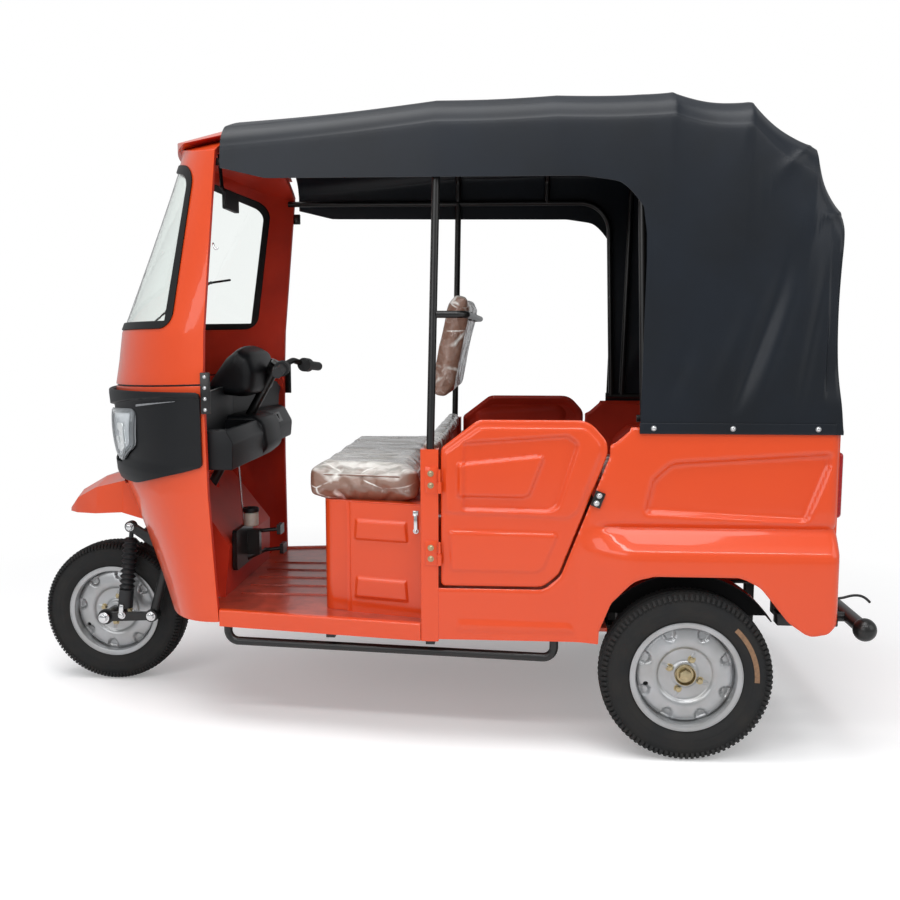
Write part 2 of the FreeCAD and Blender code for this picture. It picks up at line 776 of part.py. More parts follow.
def pedal_cluster():
    wall = well_back_x - 12.0
    plate = box(wall - 26, wall - 10, 40, 250, 470, 610)
    plate = round_edges(plate, 10, lambda m, way: abs(way.x) > 5)
    mount = box(wall - 12, wall, 60, 230, 480, 540)
    post = box(wall - 70, wall - 20, 90, 118, 500, 590)
    parts = [plate, mount, post]
    for y, z, reach in ((60, 582, 128), (-10, 496, 120)):
        elbow = V(wall - 60, y + 6, z - 6)
        parts.append(rod(V(wall - 22, 110, z - 14), elbow, 14))
        parts.append(Part.makeSphere(8.5, elbow))
        parts.append(rod(elbow, V(wall - reach, y, z), 14))
        pad = box(wall - reach - 12, wall - reach + 2, y - 28, y + 28, z - 16, z + 20)
        parts.append(round_edges(pad, 4, lambda m, way: abs(way.x) > 5))
    base = V(wall - 50, 150, 610 + soft_gap)
    jar = fused([rod(base, base + V(0, 0, 52), 54), rod(base + V(0, 0, 52), base + V(0, 0, 66), 60)])
    return Part.makeCompound([fused(parts).cut(wheel_well()), jar])


def interior_mirror():
    centre = V(668, 90, 1742)
    glass = box(centre.x - 7, centre.x + 7, centre.y - 78, centre.y + 78, centre.z - 32, centre.z + 32)
    glass = round_edges(glass, 6, lambda m, way: abs(way.x) > 5)
    top = V(centre.x + 40, centre.y, 1960)
    elbow = centre + V(30, 0, 50)
    stem = [rod(centre, elbow, 12), Part.makeSphere(7.5, elbow), rod(elbow, top, 12)]
    return fused([glass] + stem).common(cab_room())


def screen_point(z, share, proud):
    """Point on the windscreen's outer face, counted from left to right."""
    low, high = cab_stations()[3], cab_stations()[4]
    part = (z - low[0]) / (high[0] - low[0])
    level = [a + (b - a) * part for a, b in zip(low[1], high[1])]
    curve = plan_wire(level, z, -proud, 0).Edges[0].Curve
    first, last = curve.FirstParameter, curve.LastParameter
    return curve.value(first + (last - first) * share)


def wiper():
    """Arm and blade lying just off the curved glass, pivoted below the seal."""
    hub = screen_point(1272, 0.54, 11)
    arm = [hub, screen_point(1318, 0.58, 18), screen_point(1370, 0.63, 19), screen_point(1424, 0.69, 18)]
    arm.append(screen_point(1486, 0.76, 16))
    blade = [screen_point(1470, 0.70, 12), screen_point(1486, 0.76, 12), screen_point(1500, 0.82, 12)]
    parts = [rod(a, b, 8) for a, b in zip(arm, arm[1:])]
    parts += [rod(a, b, 9) for a, b in zip(blade, blade[1:])]
    parts += [Part.makeSphere(6, p) for p in arm[1:] + blade[1:2]]
    out = (hub - screen_point(1272, 0.54, -20)).normalize()
    parts.append(rod(hub - out * wiper_reach, hub + out * 8, 26))
    return parts[0].fuse(parts[1:])


def door_outline(grow):
    """Side view corners of the half door, grown evenly."""
    g = grow
    x1 = post_front_x - post_width - door_gap + g
    low, top = door_low_z - g, door_top_z + g
    rear = door_rear_x - g
    points = [(x1, low), (rear + 188, low), (rear + 140, low + 40 + g / 2), (rear, top - 98), (rear, top - 66)]
    points += [(rear + 62, top), (x1 - 112, top), (x1, top - 86)]
    return points


def door_blank(grow, y0, y1):
    blank = side_prism(door_outline(grow), y0, y1)
    return round_edges(blank, 16 + grow, along_y)


def door_panel():
    """Half door with two swaged fields pressed in and its hinge leaves."""
    outer = post_y - 0.5
    blank = door_blank(0, outer - door_thick, outer)
    blank = round_edges(blank, 5, lambda m, way: m.y > outer - 1)
    a, b = post_front_x - 125, door_rear_x
    upper = [(a, 962), (b + 102, 984), (b + 150, 742), (a, 742)]
    inner = [(a - 20, 904), (b + 182, 928), (b + 210, 796), (a - 20, 796)]
    lower = [(a + 34, 690), (b + 158, 682), (b + 194, 566), (a + 26, 566)]
    for outline in (upper, lower):
        field = side_prism(outline, outer - door_swage, outer + 5)
        blank = blank.cut(round_edges(field, 16, along_y))
    raised = side_prism(inner, outer - door_swage - 1, outer - 1.2)
    parts = [blank, round_edges(raised, 14, along_y)]
    bores = []
    for z in hinge_heights():
        axis = hinge_point(z)
        parts.append(box(axis.x - 40, axis.x, post_y - 3, post_y + 3, z + 1, z + 34))
        parts.append(rod(axis + V(0, 0, 1), axis + V(0, 0, 34), hinge_d))
        bores.append(rod(axis, axis + V(0, 0, 40), hinge_pin_d + 2 * running_gap))
    return fused(parts).cut(Part.makeCompound(bores))


def hinge_point(z):
    return V(post_front_x - post_width - door_gap / 2, post_y + hinge_d / 2 + 1.5, z)


def hinge_heights():
    return (620.0, 842.0)


def quarter_section(x, flare):
    """Wall section of the rear quarter: upright side over a flared skirt."""
    t = body_wall
    f = flare
    y = post_y
    outer = [(y - 4, hem_z), (y + 0.06 * f, 830), (y + 0.1 * f, 766), (y + 0.3 * f, 690), (y + f, 622)]
    outer += [(y + f, body_low_z)]
    inner = [(v - t, z) for v, z in reversed(outer)]
    points = outer + inner
    return Part.makePolygon([V(x, v, z) for v, z in points + points[:1]])


def quarter_panel():
    """Side of the passenger body from the door post to the tail, with its wheel arch."""
    front = post_front_x - post_width
    c = rear_axle_x
    f = flare_y - post_y
    stations = [(front, 0), (front - 380, 0.06 * f), (c + 200, f), (c - 290, f)]
    stations += [(body_rear_x + 26, 0.9 * f), (body_rear_x, 0.5 * f)]
    wall = Part.makeLoft([quarter_section(x, flare) for x, flare in stations], True, True)
    shoulder = [(front + 10, 880), (c + 286, 955), (c + 234, 955), (c + 234, 966), (c + 176, hem_z - 6)]
    shoulder += [(c + 176, hem_z + 20), (front + 10, hem_z + 20)]
    end = body_rear_x
    recess = [(c + 142, 752), (c + 118, 858), (c + 74, 904), (end + 23, 944), (end + 89, 724)]
    cuts = [side_prism(arch_outline(), 500, 800), door_blank(door_gap, 500, 800), side_prism(shoulder, 500, 800)]
    cuts.append(round_edges(side_prism(recess, post_y - 5, 800), 18, along_y))
    return wall.cut(cuts)


def tail_panel():
    """Rear wall, turned in at its foot, with a shallow plate recess."""
    reach = post_y - body_wall - 4 - soft_gap
    x = body_rear_x
    points = [(x, hem_z - 4), (x, tail_low_z + 50), (x + 16, tail_low_z), (x + 38, tail_low_z),
              (x + 22, tail_low_z + 54), (x + 22, hem_z - 4)]
    panel = side_prism(points, -reach, reach)
    plate = box(x - 1, x + 6, -240, 240, 560, 700)
    return panel.cut(round_edges(plate, 10, lambda m, way: abs(way.x) > 3))


def tail_lamps():
    lens = box(body_rear_x - 16, body_rear_x - soft_gap, 455, 565, 738, 936)
    lens = round_edges(lens, 12, lambda m, way: m.x < body_rear_x - 1)
    return both_sides(lens)


def wheel_arches():
    """Curved sheets over the rear tyres with their inner side walls."""
    r = tyre_od / 2 + 46
    c = V(rear_axle_x, 0, axle_z)
    y0, y1 = arch_inner_y, post_y - body_wall - soft_gap
    drum = rod(V(c.x, y0, c.z), V(c.x, y1, c.z), 2 * r)
    drum = drum.cut(rod(V(c.x, y0 + well_sheet, c.z), V(c.x, y1 + 1, c.z), 2 * r - 2 * well_sheet))
    keep = box(c.x - r - 1, c.x + r + 1, y0 - 1, y1 + 1, 420, 1000)
    return both_sides(drum.common(keep))


def rear_deck():
    """Floor behind the bench, with the riser and base that carry the bench."""
    reach = arch_inner_y - soft_gap
    x0, x1 = body_rear_x + 22 + soft_gap, door_sill_end_x
    top = bench_top_z
    sheet = 8.0
    riser = box(x1 - sheet, x1, -reach, reach, floor_z - floor_thick + 0.2, top)
    shelf = box(bench_back_x, x1 - 1, -reach, reach, top - sheet, top)
    floor = box(x0, x1 - 1, -reach, reach, deck_z, deck_z + sheet)
    back = box(bench_back_x, bench_back_x + sheet, -reach, reach, deck_z + 1, top - 1)
    return Part.makeCompound([fused([riser, shelf, floor, back])] + wheel_arches().Solids)


def passenger_bench():
    """Seat cushion and leaning back cushion of the rear bench."""
    reach = arch_inner_y - 10
    low = bench_top_z + soft_gap
    seat = box(bench_back_x + 100, door_sill_end_x - 6, -reach, reach, low, bench_top_z + 110)
    seat = round_edges(seat, 30, lambda m, way: m.z > bench_top_z + 60 or m.x > door_sill_end_x - 10)
    points = [(bench_back_x + 99, low), (bench_back_x + 72, 1175), (bench_back_x - 18, 1175), (bench_back_x + 4, low)]
    back = side_prism(points, -reach, reach)
    back = round_edges(back, 26, lambda m, way: m.z > 1100)
    return Part.makeCompound([seat, back])


def hood_section(bow, inset, ahead):
    """Bow section of the hood: upright sides, round shoulders, crowned roof."""
    top_x, hem_x, crown, shoulder, side_top = bow
    n = inset
    low = hem_z - 18
    hem_y = post_y - 4 + 5 * soft_gap + hood_thick
    half = [(hem_y - n, low), (hem_y - n, hem_z + 10), (side_top - n, shoulder - 150)]
    half += [(side_top - 12 - n, shoulder - 60), (side_top - 46 - 0.8 * n, shoulder - 16 - 0.6 * n)]
    half += [(side_top - 100, shoulder + 8 - n), (side_top * 0.5, crown - 14 - n), (side_top * 0.2, crown - 2 - n)]
    points = half + [(-y, z) for y, z in reversed(half)]
    ring = []
    for y, z in points:
        share = max(0.0, min(1.0, (z - low) / (crown - low)))
        ring.append(V(hem_x + ahead + (top_x - hem_x) * share, y, z))
    return Part.makePolygon(ring + ring[:1])


def hood_bows():
    """Top x, hem x, crown, shoulder and side half width at each roof bow."""
    c = rear_axle_x
    front = (hood_front_x, hood_front_x, 1984, 1918, 550)
    pole = (pole_x - 11, pole_x - 11, 2034, 1978, 566)
    middle = (c + 403, c + 403, roof_z, 1986, 572)
    ridge = (c + 63, c + 86, roof_z, 1988, 574)
    third = (c - 170, c - 114, 2012, 1956, 574)
    fourth = (c - 359, c - 284, 1878, 1822, 570)
    tail_x = body_rear_x - soft_gap - hood_thick
    tail = (tail_x - 6, tail_x, 1672, 1618, 564)
    return [front, pole, middle, ridge, third, fourth, tail]


def hood_solid(inset):
    """Solid under the skin, or the hollow in it, which runs out at the front."""
    bows = hood_bows()
    front, behind = bows[0], bows[1]
    share = hood_run_out / (front[0] - behind[0]) if inset else 0
    bows[0] = [a + (a - b) * share for a, b in zip(front, behind)]
    ahead = [0] * (len(bows) - 1) + [inset]
    return Part.makeLoft([hood_section(bow, inset, a) for bow, a in zip(bows, ahead)], True, True)


def hood():
    """Vinyl roof and rear of the hood, with both side openings cut."""
    c = rear_axle_x
    cover = hood_solid(0).cut(hood_solid(hood_thick))
    opening = [(700, 0), (700, 1783), (hood_front_x, 1783), (430, 1750), (c + 322, 1744), (c + 206, 1724)]
    opening += [(c + 144, 1650), (c + 126, 1540), (c + 150, 1000), (c + 150, 0)]
    return cover.cut(side_prism(opening, -800, 800))


def rear_bumper():
    """Tube across the tail on two arms from the chassis, with round end caps."""
    y = bumper_half
    parts = [rod(V(bumper_x, -y, bumper_z), V(bumper_x, y, bumper_z), bumper_d)]
    x = body_rear_x
    rail_out = rail_y + rail_wide / 2 + soft_gap
    for side in (1, -1):
        parts.append(Part.makeSphere(bumper_d * 0.78, V(bumper_x, side * y, bumper_z)))
        arm = V(bumper_x, side * 420, bumper_z)
        parts.append(rod(arm, V(x + 60, side * 420, bumper_z), 30))
        parts.append(box(x + 50, x + 120, side * rail_out, side * 440, bumper_z - 16, bumper_z + 16))
        parts.append(box(x + 50, x + 120, side * rail_out, side * (rail_out + 8), bumper_z - 16, 510))
    return fused(parts)


def rear_axle():
    """Live axle beam with its differential housing and wheel stubs."""
    end = rear_track / 2
    c = V(rear_axle_x, 0, axle_z)
    beam = rod(c - V(0, end - 66, 0), c + V(0, end - 66, 0), beam_d)
    case = Part.makeSphere(diff_d / 2, c)
    nose = Part.makeCone(70, 42, 150, c, V(1, 0, 0))
    stubs = rod(c - V(0, end + 22, 0), c + V(0, end + 22, 0), axle_d)
    parts = [beam, case, nose, stubs]
    for side in (1, -1):
        a = c + V(0, side * (end - 68), 0)
        parts.append(rod(a, a + V(0, side * 12, 0), 150))
        cap = c + V(0, side * (end + 21), 0)
        parts.append(rod(cap, cap + V(0, side * 14, 0), 34))
    return fused(parts)


def rear_springs():
    """Leaf packs clamped over the axle beam and hung from the rails."""
    beam = rod(V(rear_axle_x, -600, axle_z), V(rear_axle_x, 600, axle_z), beam_d + 2 * soft_gap)
    packs = []
    for side in (1, -1):
        parts = []
        y = side * rail_y
        for k in range(4):
            parts.append(spring_leaf(y - 30, 270.0 - 60 * k, axle_z + beam_d / 2 + 1 + (3 - k) * leaf_thick))
        parts.append(box(rear_axle_x - 50, rear_axle_x + 50, y - 36, y + 36, axle_z + 24, axle_z + 34))
        eye_z = axle_z + beam_d / 2 + 8 + 3 * leaf_thick
        parts.append(box(rear_axle_x + 240, rear_axle_x + 266, y - 24, y + 24, eye_z, rail_low_z - soft_gap))
        parts.append(box(rear_axle_x - 266, rear_axle_x - 240, y - 20, y + 20, eye_z, rail_low_z + rail_kick - soft_gap))
        packs.append(fused(parts).cut(beam))
    return packs


def build_interior():
    save("floor_pan", floor_pan())
    save("chassis_frame", chassis_frame())
    save("door_posts", Part.makeCompound(door_posts().Solids + [partition()]))
    save("partition_pad", partition_pad())
    save("seat_base", seat_base())
    save("engine_block", engine_block())
    save("driver_cushion", driver_cushion())
    save("driver_backrest", driver_backrest())
    save("backrest_frame", backrest_frame())
    save("dashboard", dashboard())
    save("pedal_cluster", pedal_cluster())
    save("interior_mirror", interior_mirror())
    save("wiper", wiper())


def build_body():
    save("left_door", door_panel())
    save("right_door", mirrored(door_panel()))
    save("quarter_panels", both_sides(quarter_panel()))
    save("tail_panel", tail_panel())
    save("tail_lamps", tail_lamps())
    save("rear_deck", rear_deck())
    save("passenger_bench", passenger_bench())
    save("hood", hood())
    save("hood_rails", hood_rails())
    save("hood_bows", hood_bows_set())
    save("rear_bumper", rear_bumper())
    save("rear_axle", Part.makeCompound([rear_axle()] + rear_springs()))


def damper_y():
    return fork_half_gap + fork_leg_d / 2


def damper_eye():
    return damper_top() + V(0, 0, 26)


def lower_cab(inset, back=0.0):
    return cab_solid(shield_bottom_z, groove_z, inset, back)


def upper_cab(inset, back=0.0):
    return cab_solid(groove_z + groove_gap, 2040, inset, back)


def cab_room():
    """Space inside the cab below the crowned roof."""
    return upper_cab(cab_wall, 80).common(below_arch(26 + cab_wall))


def screen_slab():
    return box(600, 1400, -700, 700, 1200, 1900)


def mudguard_wire(station, inset):
    x, half, low, shoulder, top = station
    h, s, t = max(half - inset, 8), shoulder - inset, top - inset
    right = [(h, low - inset), (h * 0.92, s), (h * 0.36, t)]
    points = right + [(-y, z) for y, z in reversed(right)]
    return Part.makePolygon([V(x, y, z) for y, z in points + points[:1]])


def sill_member():
    start, end = cab_rear_x - 1.0, post_front_x + soft_gap
    outer = [(start, taper_y(start)), (end, post_y)]
    inner = [(end, post_y - sill_thick), (start, taper_y(start) - sill_thick)]
    sill = plan_prism(outer + inner, sill_bottom_z, floor_z + sill_lip)
    return round_edges(sill, 7, lambda m, way: abs(way.x) > 100 and m.z > floor_z)


def pole_at(z):
    """Centre of the left pole at a height."""
    share = (z - post_top_z) / (frame_z - post_top_z)
    foot_y = post_y - post_thick / 2
    return V(pole_x - 16 * share, foot_y + (frame_y - foot_y) * share, z)


def dash_tray():
    return box(dash_rear_x + 7, dash_front_x - 7, 140, 462, dash_low_z + 7, dash_top_z + 10)


def arch_outline():
    """Wheel opening and the cut-up tail of the skirt, in side view."""
    c = rear_axle_x
    low = body_low_z
    return [(c + 268, low - 50), (c + 262, low + 40), (c + 228, 484), (c + 164, 556), (c + 104, arch_top_z),
            (c - 150, arch_top_z), (c - 206, 542), (c - 290, 438), (c - 350, 396), (c - 404, 404), (c - 470, 470),
            (c - 470, low - 50)]


def bow_tube(top_x, top_z, foot_x, foot_z, foot_y):
    """Bow from one side to the other: leaning sides and a level top."""
    side = [V(foot_x, foot_y, foot_z), V(top_x, 528, top_z - 76), V(top_x - 2, 440, top_z)]
    return tube(side + [V(p.x, -p.y, p.z) for p in reversed(side)], frame_tube_d, 40)


def spring_leaf(y, reach, z):
    """One leaf, bowed up slightly towards its ends."""
    sag = 9.0 * (reach / 270.0) ** 2
    lift = V(0, 0, leaf_thick)
    a, b, d = [V(rear_axle_x + dx, y, z + dz) for dx, dz in ((-reach, sag), (0, 0), (reach, sag))]
    low = Part.Arc(a, b, d).toShape()
    top = Part.Arc(d + lift, b + lift, a + lift).toShape()
    wire = Part.Wire([low, Part.makeLine(d, d + lift), top, Part.makeLine(a + lift, a)])
    return Part.Face(wire).extrude(V(0, 60, 0))


def cab_form(inset, back):
    """Full height form of the cab, kept after its first use."""
    key = (inset, back)
    if key not in cab_forms:
        wires = [plan_wire(level, z, inset, back) for z, level in cab_stations()]
        cab_forms[key] = Part.makeLoft(wires, True, True)
    return cab_forms[key]


def steering_head():
    """Head tube that the column turns in, on a strut from the front cross member."""
    head = rod(on_column(head_low), on_column(head_high), column_d + 2 * head_wall)
    foot = V(front_cross_x, 0, rail_low_z + rail_height - 2)
    strut = rod(on_column((head_low + head_high) / 2 + 20), foot, 44)
    bore = rod(on_column(head_low - 50), on_column(head_high + 50), column_d + 2 * running_gap)
    return fused([head, strut]).cut(bore)


def hood_rails():
    """Side rails of the hood, bent down behind the doorway, and the rail under its hem."""
    c = rear_axle_x
    rail = tube([V(604, 512, frame_z), V(0, frame_y, frame_z), V(c + 156, frame_y + 6, frame_z),
                 V(c + 134, frame_y + 16, hem_rail_z)], frame_tube_d, 120)
    rail = rail.cut(windscreen_frame())
    y = frame_y + 18
    front, rear = c + 156, body_rear_x + 45
    base = tube([V(front, y, hem_rail_z), V(rear, y, hem_rail_z), V(rear, -y, hem_rail_z), V(front, -y, hem_rail_z)],
                frame_tube_d, 60)
    return Part.makeCompound([rail, mirrored(rail), base.cut([rail, mirrored(rail)])])


def hood_bows_set():
    """Six bows across the hood, two on the side rails and four on the hem rail."""
    c = rear_axle_x
    bows = []
    for x in (pole_x - 16, c + 403):
        bows.append(bow_tube(x, 1970, x, frame_z, frame_y + 3))
    for top_x, top_z, foot_x in ((c + 68, 1972, c + 92), (c - 154, 1946, c - 54), (c - 330, 1816, c - 194),
                                 (c - 416, 1608, c - 384)):
        bows.append(bow_tube(top_x, top_z, foot_x, hem_rail_z, frame_y + 18))
    poles = both_sides(roof_poles())
    return Part.makeCompound([bow.cut(hood_rails()).cut(poles) for bow in bows])


os.makedirs("parts", exist_ok=True)
build_wheels_and_steering()
build_cab()
build_interior()
build_body()
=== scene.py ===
import math

import bmesh
import bpy
import numpy
from mathutils import Matrix, Vector
from mathutils.bvhtree import BVHTree


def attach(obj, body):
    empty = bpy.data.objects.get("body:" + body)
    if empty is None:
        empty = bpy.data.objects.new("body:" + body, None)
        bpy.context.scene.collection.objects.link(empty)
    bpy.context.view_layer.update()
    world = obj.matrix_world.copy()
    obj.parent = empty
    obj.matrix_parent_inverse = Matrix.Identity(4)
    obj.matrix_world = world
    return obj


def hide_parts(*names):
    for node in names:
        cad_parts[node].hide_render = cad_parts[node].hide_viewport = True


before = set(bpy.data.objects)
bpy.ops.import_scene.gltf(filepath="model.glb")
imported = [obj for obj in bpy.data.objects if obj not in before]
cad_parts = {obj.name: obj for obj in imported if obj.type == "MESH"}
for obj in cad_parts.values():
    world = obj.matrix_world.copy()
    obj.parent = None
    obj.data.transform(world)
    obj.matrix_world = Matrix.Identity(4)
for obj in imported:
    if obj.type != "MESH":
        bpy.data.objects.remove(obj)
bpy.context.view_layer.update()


# Camera.
# It stands at the left side, a little above half height, and looks
# slightly down and towards the front, as the photograph does.
camera_data = bpy.data.cameras.new("Camera")
camera_data.lens = 40
camera_data.sensor_width = 36
camera = bpy.data.objects.new("Camera", camera_data)
camera.location = (-0.34, 3.58, 1.29)
camera.rotation_euler = Vector((0.0693, -0.9908, -0.1167)).to_track_quat("-Z", "Y").to_euler()
bpy.context.collection.objects.link(camera)
bpy.context.scene.camera = camera
bpy.context.scene.view_settings.view_transform = "Standard"


# Light, floor and background.
# Large soft lamps stand overhead and on the camera's side, over a plain
# pale floor, and a pale background shows to the camera and in reflections.
def add_node(tree, kind, values=None, links=None, **settings):
    """One node with its settings, input values and links."""
    new = tree.nodes.new(kind)
    for key, value in settings.items():
        setattr(new, key, value)
    for key, value in (values or {}).items():
        new.inputs[key].default_value = value
    for key, socket in (links or {}).items():
        tree.links.new(socket, new.inputs[key])
    return new


def linear(code, alpha=1.0):
    """The linear colour of an sRGB hex value."""
    parts = [int(code[i:i + 2], 16) / 255 for i in (0, 2, 4)]
    parts = [c / 12.92 if c <= 0.04045 else ((c + 0.055) / 1.055) ** 2.4 for c in parts]
    return (*parts, alpha)


def add_lamp(name, place, aim, size, watts):
    lamp = bpy.data.lights.new(name, "AREA")
    lamp.shape = "RECTANGLE"
    lamp.size = size[0]
    lamp.size_y = size[1]
    lamp.energy = watts
    thing = bpy.data.objects.new(name, lamp)
    thing.location = place
    thing.rotation_euler = (Vector(aim) - Vector(place)).to_track_quat("-Z", "Y").to_euler()
    bpy.context.collection.objects.link(thing)


add_lamp("lamp_over", (0.3, 1.0, 5.2), (0, 0, 0.6), (5.0, 3.0), 190)
add_lamp("lamp_camera_side", (2.6, 5.4, 2.6), (0, 0, 0.9), (4.0, 2.0), 66)
add_lamp("lamp_rear", (-4.6, 2.6, 2.8), (-0.4, 0, 0.9), (3.0, 3.0), 45)
add_lamp("lamp_strip", (-0.3, 3.4, 3.9), (-0.3, 0, 0.7), (5.0, 0.30), 62)

world = bpy.data.worlds.new("Studio")
bpy.context.scene.world = world
world.use_nodes = True
sky = world.node_tree
sky.nodes.clear()
seen = add_node(sky, "ShaderNodeLightPath")
part_gloss = add_node(sky, "ShaderNodeMath", {1: 0.25}, {0: seen.outputs["Is Glossy Ray"]}, operation="MULTIPLY")
camera_or_gloss = add_node(sky, "ShaderNodeMath", operation="MAXIMUM",
                           links={0: seen.outputs["Is Camera Ray"], 1: part_gloss.outputs[0]})
shows_white = add_node(sky, "ShaderNodeMath", operation="MAXIMUM",
                       links={0: camera_or_gloss.outputs[0], 1: seen.outputs["Is Transmission Ray"]})
fill = add_node(sky, "ShaderNodeBackground", {"Color": linear("F4F6FA"), "Strength": 0.38})
white = add_node(sky, "ShaderNodeBackground", {"Color": (1, 1, 1, 1), "Strength": 1.0})
both = add_node(sky, "ShaderNodeMixShader", links={0: shows_white.outputs[0], 1: fill.outputs[0], 2: white.outputs[0]})
add_node(sky, "ShaderNodeOutputWorld", links={"Surface": both.outputs[0]})

bpy.ops.object.select_all(action="DESELECT")
bpy.ops.mesh.primitive_plane_add(size=40, location=(0, 0, -0.0005))
floor = bpy.context.active_object
floor.name = "floor"
pale_paint = bpy.data.materials.new("floor_paint")
pale_paint.use_nodes = True
ground = pale_paint.node_tree
paint = ground.nodes["Principled BSDF"]
paint.inputs["Base Color"].default_value = linear("F3F3F3")
paint.inputs["Roughness"].default_value = 0.9
ray = add_node(ground, "ShaderNodeLightPath")
where = add_node(ground, "ShaderNodeTexCoord")
far = add_node(ground, "ShaderNodeVectorMath", operation="LENGTH", links={0: where.outputs["Object"]})
away = add_node(ground, "ShaderNodeMapRange", {"From Min": 1.7, "From Max": 3.2}, {"Value": far.outputs["Value"]})
lift = add_node(ground, "ShaderNodeMath", {1: 0.24}, {0: ray.outputs["Is Camera Ray"]}, operation="MULTIPLY")
near_white = add_node(ground, "ShaderNodeEmission", {"Color": (1, 1, 1, 1)}, {"Strength": lift.outputs[0]})
far_white = add_node(ground, "ShaderNodeEmission", {"Color": (1, 1, 1, 1), "Strength": 1.0})
lit = add_node(ground, "ShaderNodeAddShader", links={0: paint.outputs[0], 1: near_white.outputs[0]})
fades = add_node(ground, "ShaderNodeMath", links={0: ray.outputs["Is Camera Ray"], 1: away.outputs[0]},
                 operation="MULTIPLY")
shown = add_node(ground, "ShaderNodeMixShader", links={0: fades.outputs[0], 1: lit.outputs[0], 2: far_white.outputs[0]})
ground.links.new(shown.outputs[0], ground.nodes["Material Output"].inputs["Surface"])
floor.data.materials.append(pale_paint)


# Road wheels: tyres.
# Black cross-ply tyres on 12 inch rims, moulded with three grooves round the
# crown, shoulder blocks and rings on the walls. Turned about the axle.
def finish_like(name, code, rough, mottled=None, grained=None, **values):
    """A material from its colour, roughness, second tone, grain and other shader values."""
    material = bpy.data.materials.new(name)
    material.use_nodes = True
    shader = material.node_tree.nodes["Principled BSDF"]
    shader.inputs["Base Color"].default_value = linear(code)
    shader.inputs["Roughness"].default_value = rough
    for key, value in values.items():
        shader.inputs[key.replace("_", " ")].default_value = value
    if mottled:
        mottle(material, *mottled)
    if grained:
        grain(material, *grained)
    return material


def grain(material, size_mm, depth_mm, detail=3.0, kind="ShaderNodeTexNoise", socket="Normal"):
    """Surface relief of one grain size, from Object coordinates."""
    tree = material.node_tree
    shader = tree.nodes["Principled BSDF"]
    where = add_node(tree, "ShaderNodeTexCoord")
    values = {"Scale": 1000.0 / size_mm}
    if kind == "ShaderNodeTexNoise":
        values["Detail"] = detail
    pattern = add_node(tree, kind, values, {"Vector": where.outputs["Object"]})
    height = pattern.outputs["Distance"] if kind == "ShaderNodeTexVoronoi" else pattern.outputs[0]
    bump = add_node(tree, "ShaderNodeBump", {"Strength": 1.0, "Distance": depth_mm / 1000.0}, {"Height": height})
    tree.links.new(bump.outputs["Normal"], shader.inputs[socket])


def mottle(material, other, size_mm, amount):
    """Mixes a second tone into the colour in soft patches."""
    tree = material.node_tree
    shader = tree.nodes["Principled BSDF"]
    base = shader.inputs["Base Color"]
    where = add_node(tree, "ShaderNodeTexCoord")
    patches = add_node(tree, "ShaderNodeTexNoise", {"Scale": 1000.0 / size_mm, "Detail": 4.0},
                       {"Vector": where.outputs["Object"]})
    spread = add_node(tree, "ShaderNodeMapRange", {"From Min": 0.35, "From Max": 0.7, "To Max": amount},
                      {"Value": patches.outputs[0]})
    mix = add_node(tree, "ShaderNodeMix", data_type="RGBA")
    tree.links.new(spread.outputs[0], mix.inputs[0])
    mix.inputs[6].default_value = base.default_value[:]
    mix.inputs[7].default_value = linear(other)
    tree.links.new(mix.outputs[2], base)


def only(piece):
    bpy.ops.object.select_all(action="DESELECT")
    piece.select_set(True)
    bpy.context.view_layer.objects.active = piece


def modify(piece, kind, **settings):
    """Adds one modifier and applies it."""
    only(piece)
    added = piece.modifiers.new(kind.lower(), kind)
    for key, value in settings.items():
        setattr(added, key, value)
    bpy.ops.object.modifier_apply(modifier=added.name)


def settle(piece, name, material, body="body", angle=40):
    """Puts the piece's place into its mesh, and gives it its finish and body."""
    only(piece)
    bpy.ops.object.transform_apply(location=True, rotation=True, scale=True)
    bpy.ops.object.shade_smooth_by_angle(angle=math.radians(angle))
    piece.name = name
    piece.data.name = name
    piece.data.materials.clear()
    piece.data.materials.append(material)
    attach(piece, body)
    return piece


def mesh_of(name, points, faces=(), edges=()):
    data = bpy.data.meshes.new(name)
    data.from_pydata(points, edges, faces)
    piece = bpy.data.objects.new(name, data)
    bpy.context.collection.objects.link(piece)
    return piece


def cleaned(piece, near=0.0, outwards=False, flat=None):
    """Merges close points, dissolves flat edges and turns the faces outwards, as asked."""
    only(piece)
    bpy.ops.object.mode_set(mode="EDIT")
    bpy.ops.mesh.select_all(action="SELECT")
    if near:
        bpy.ops.mesh.remove_doubles(threshold=near)
    if flat is not None:
        bpy.ops.mesh.dissolve_limited(angle_limit=math.radians(flat))
    if outwards:
        bpy.ops.mesh.normals_make_consistent(inside=False)
    bpy.ops.object.mode_set(mode="OBJECT")
    return piece


def spun(name, profile, centre, way, steps, closed=False):
    """Turns a line of (along, radius) points about an axle that runs along Y."""
    x, y, z = centre
    points = [(x, y + way * along, z + radius) for along, radius in profile]
    edges = [(i, i + 1) for i in range(len(points) - 1)]
    if closed:
        edges.append((len(points) - 1, 0))
    piece = mesh_of(name, points, edges=edges)
    only(piece)
    bpy.ops.object.mode_set(mode="EDIT")
    bpy.ops.mesh.select_all(action="SELECT")
    bpy.ops.mesh.spin(steps=steps, angle=2 * math.pi, center=centre, axis=(0, 1, 0))
    bpy.ops.object.mode_set(mode="OBJECT")
    return cleaned(piece, 0.00005, outwards=True)


def joined(pieces):
    bpy.ops.object.select_all(action="DESELECT")
    for piece in pieces:
        piece.select_set(True)
    bpy.context.view_layer.objects.active = pieces[0]
    if len(pieces) > 1:
        bpy.ops.object.join()
    return bpy.context.view_layer.objects.active


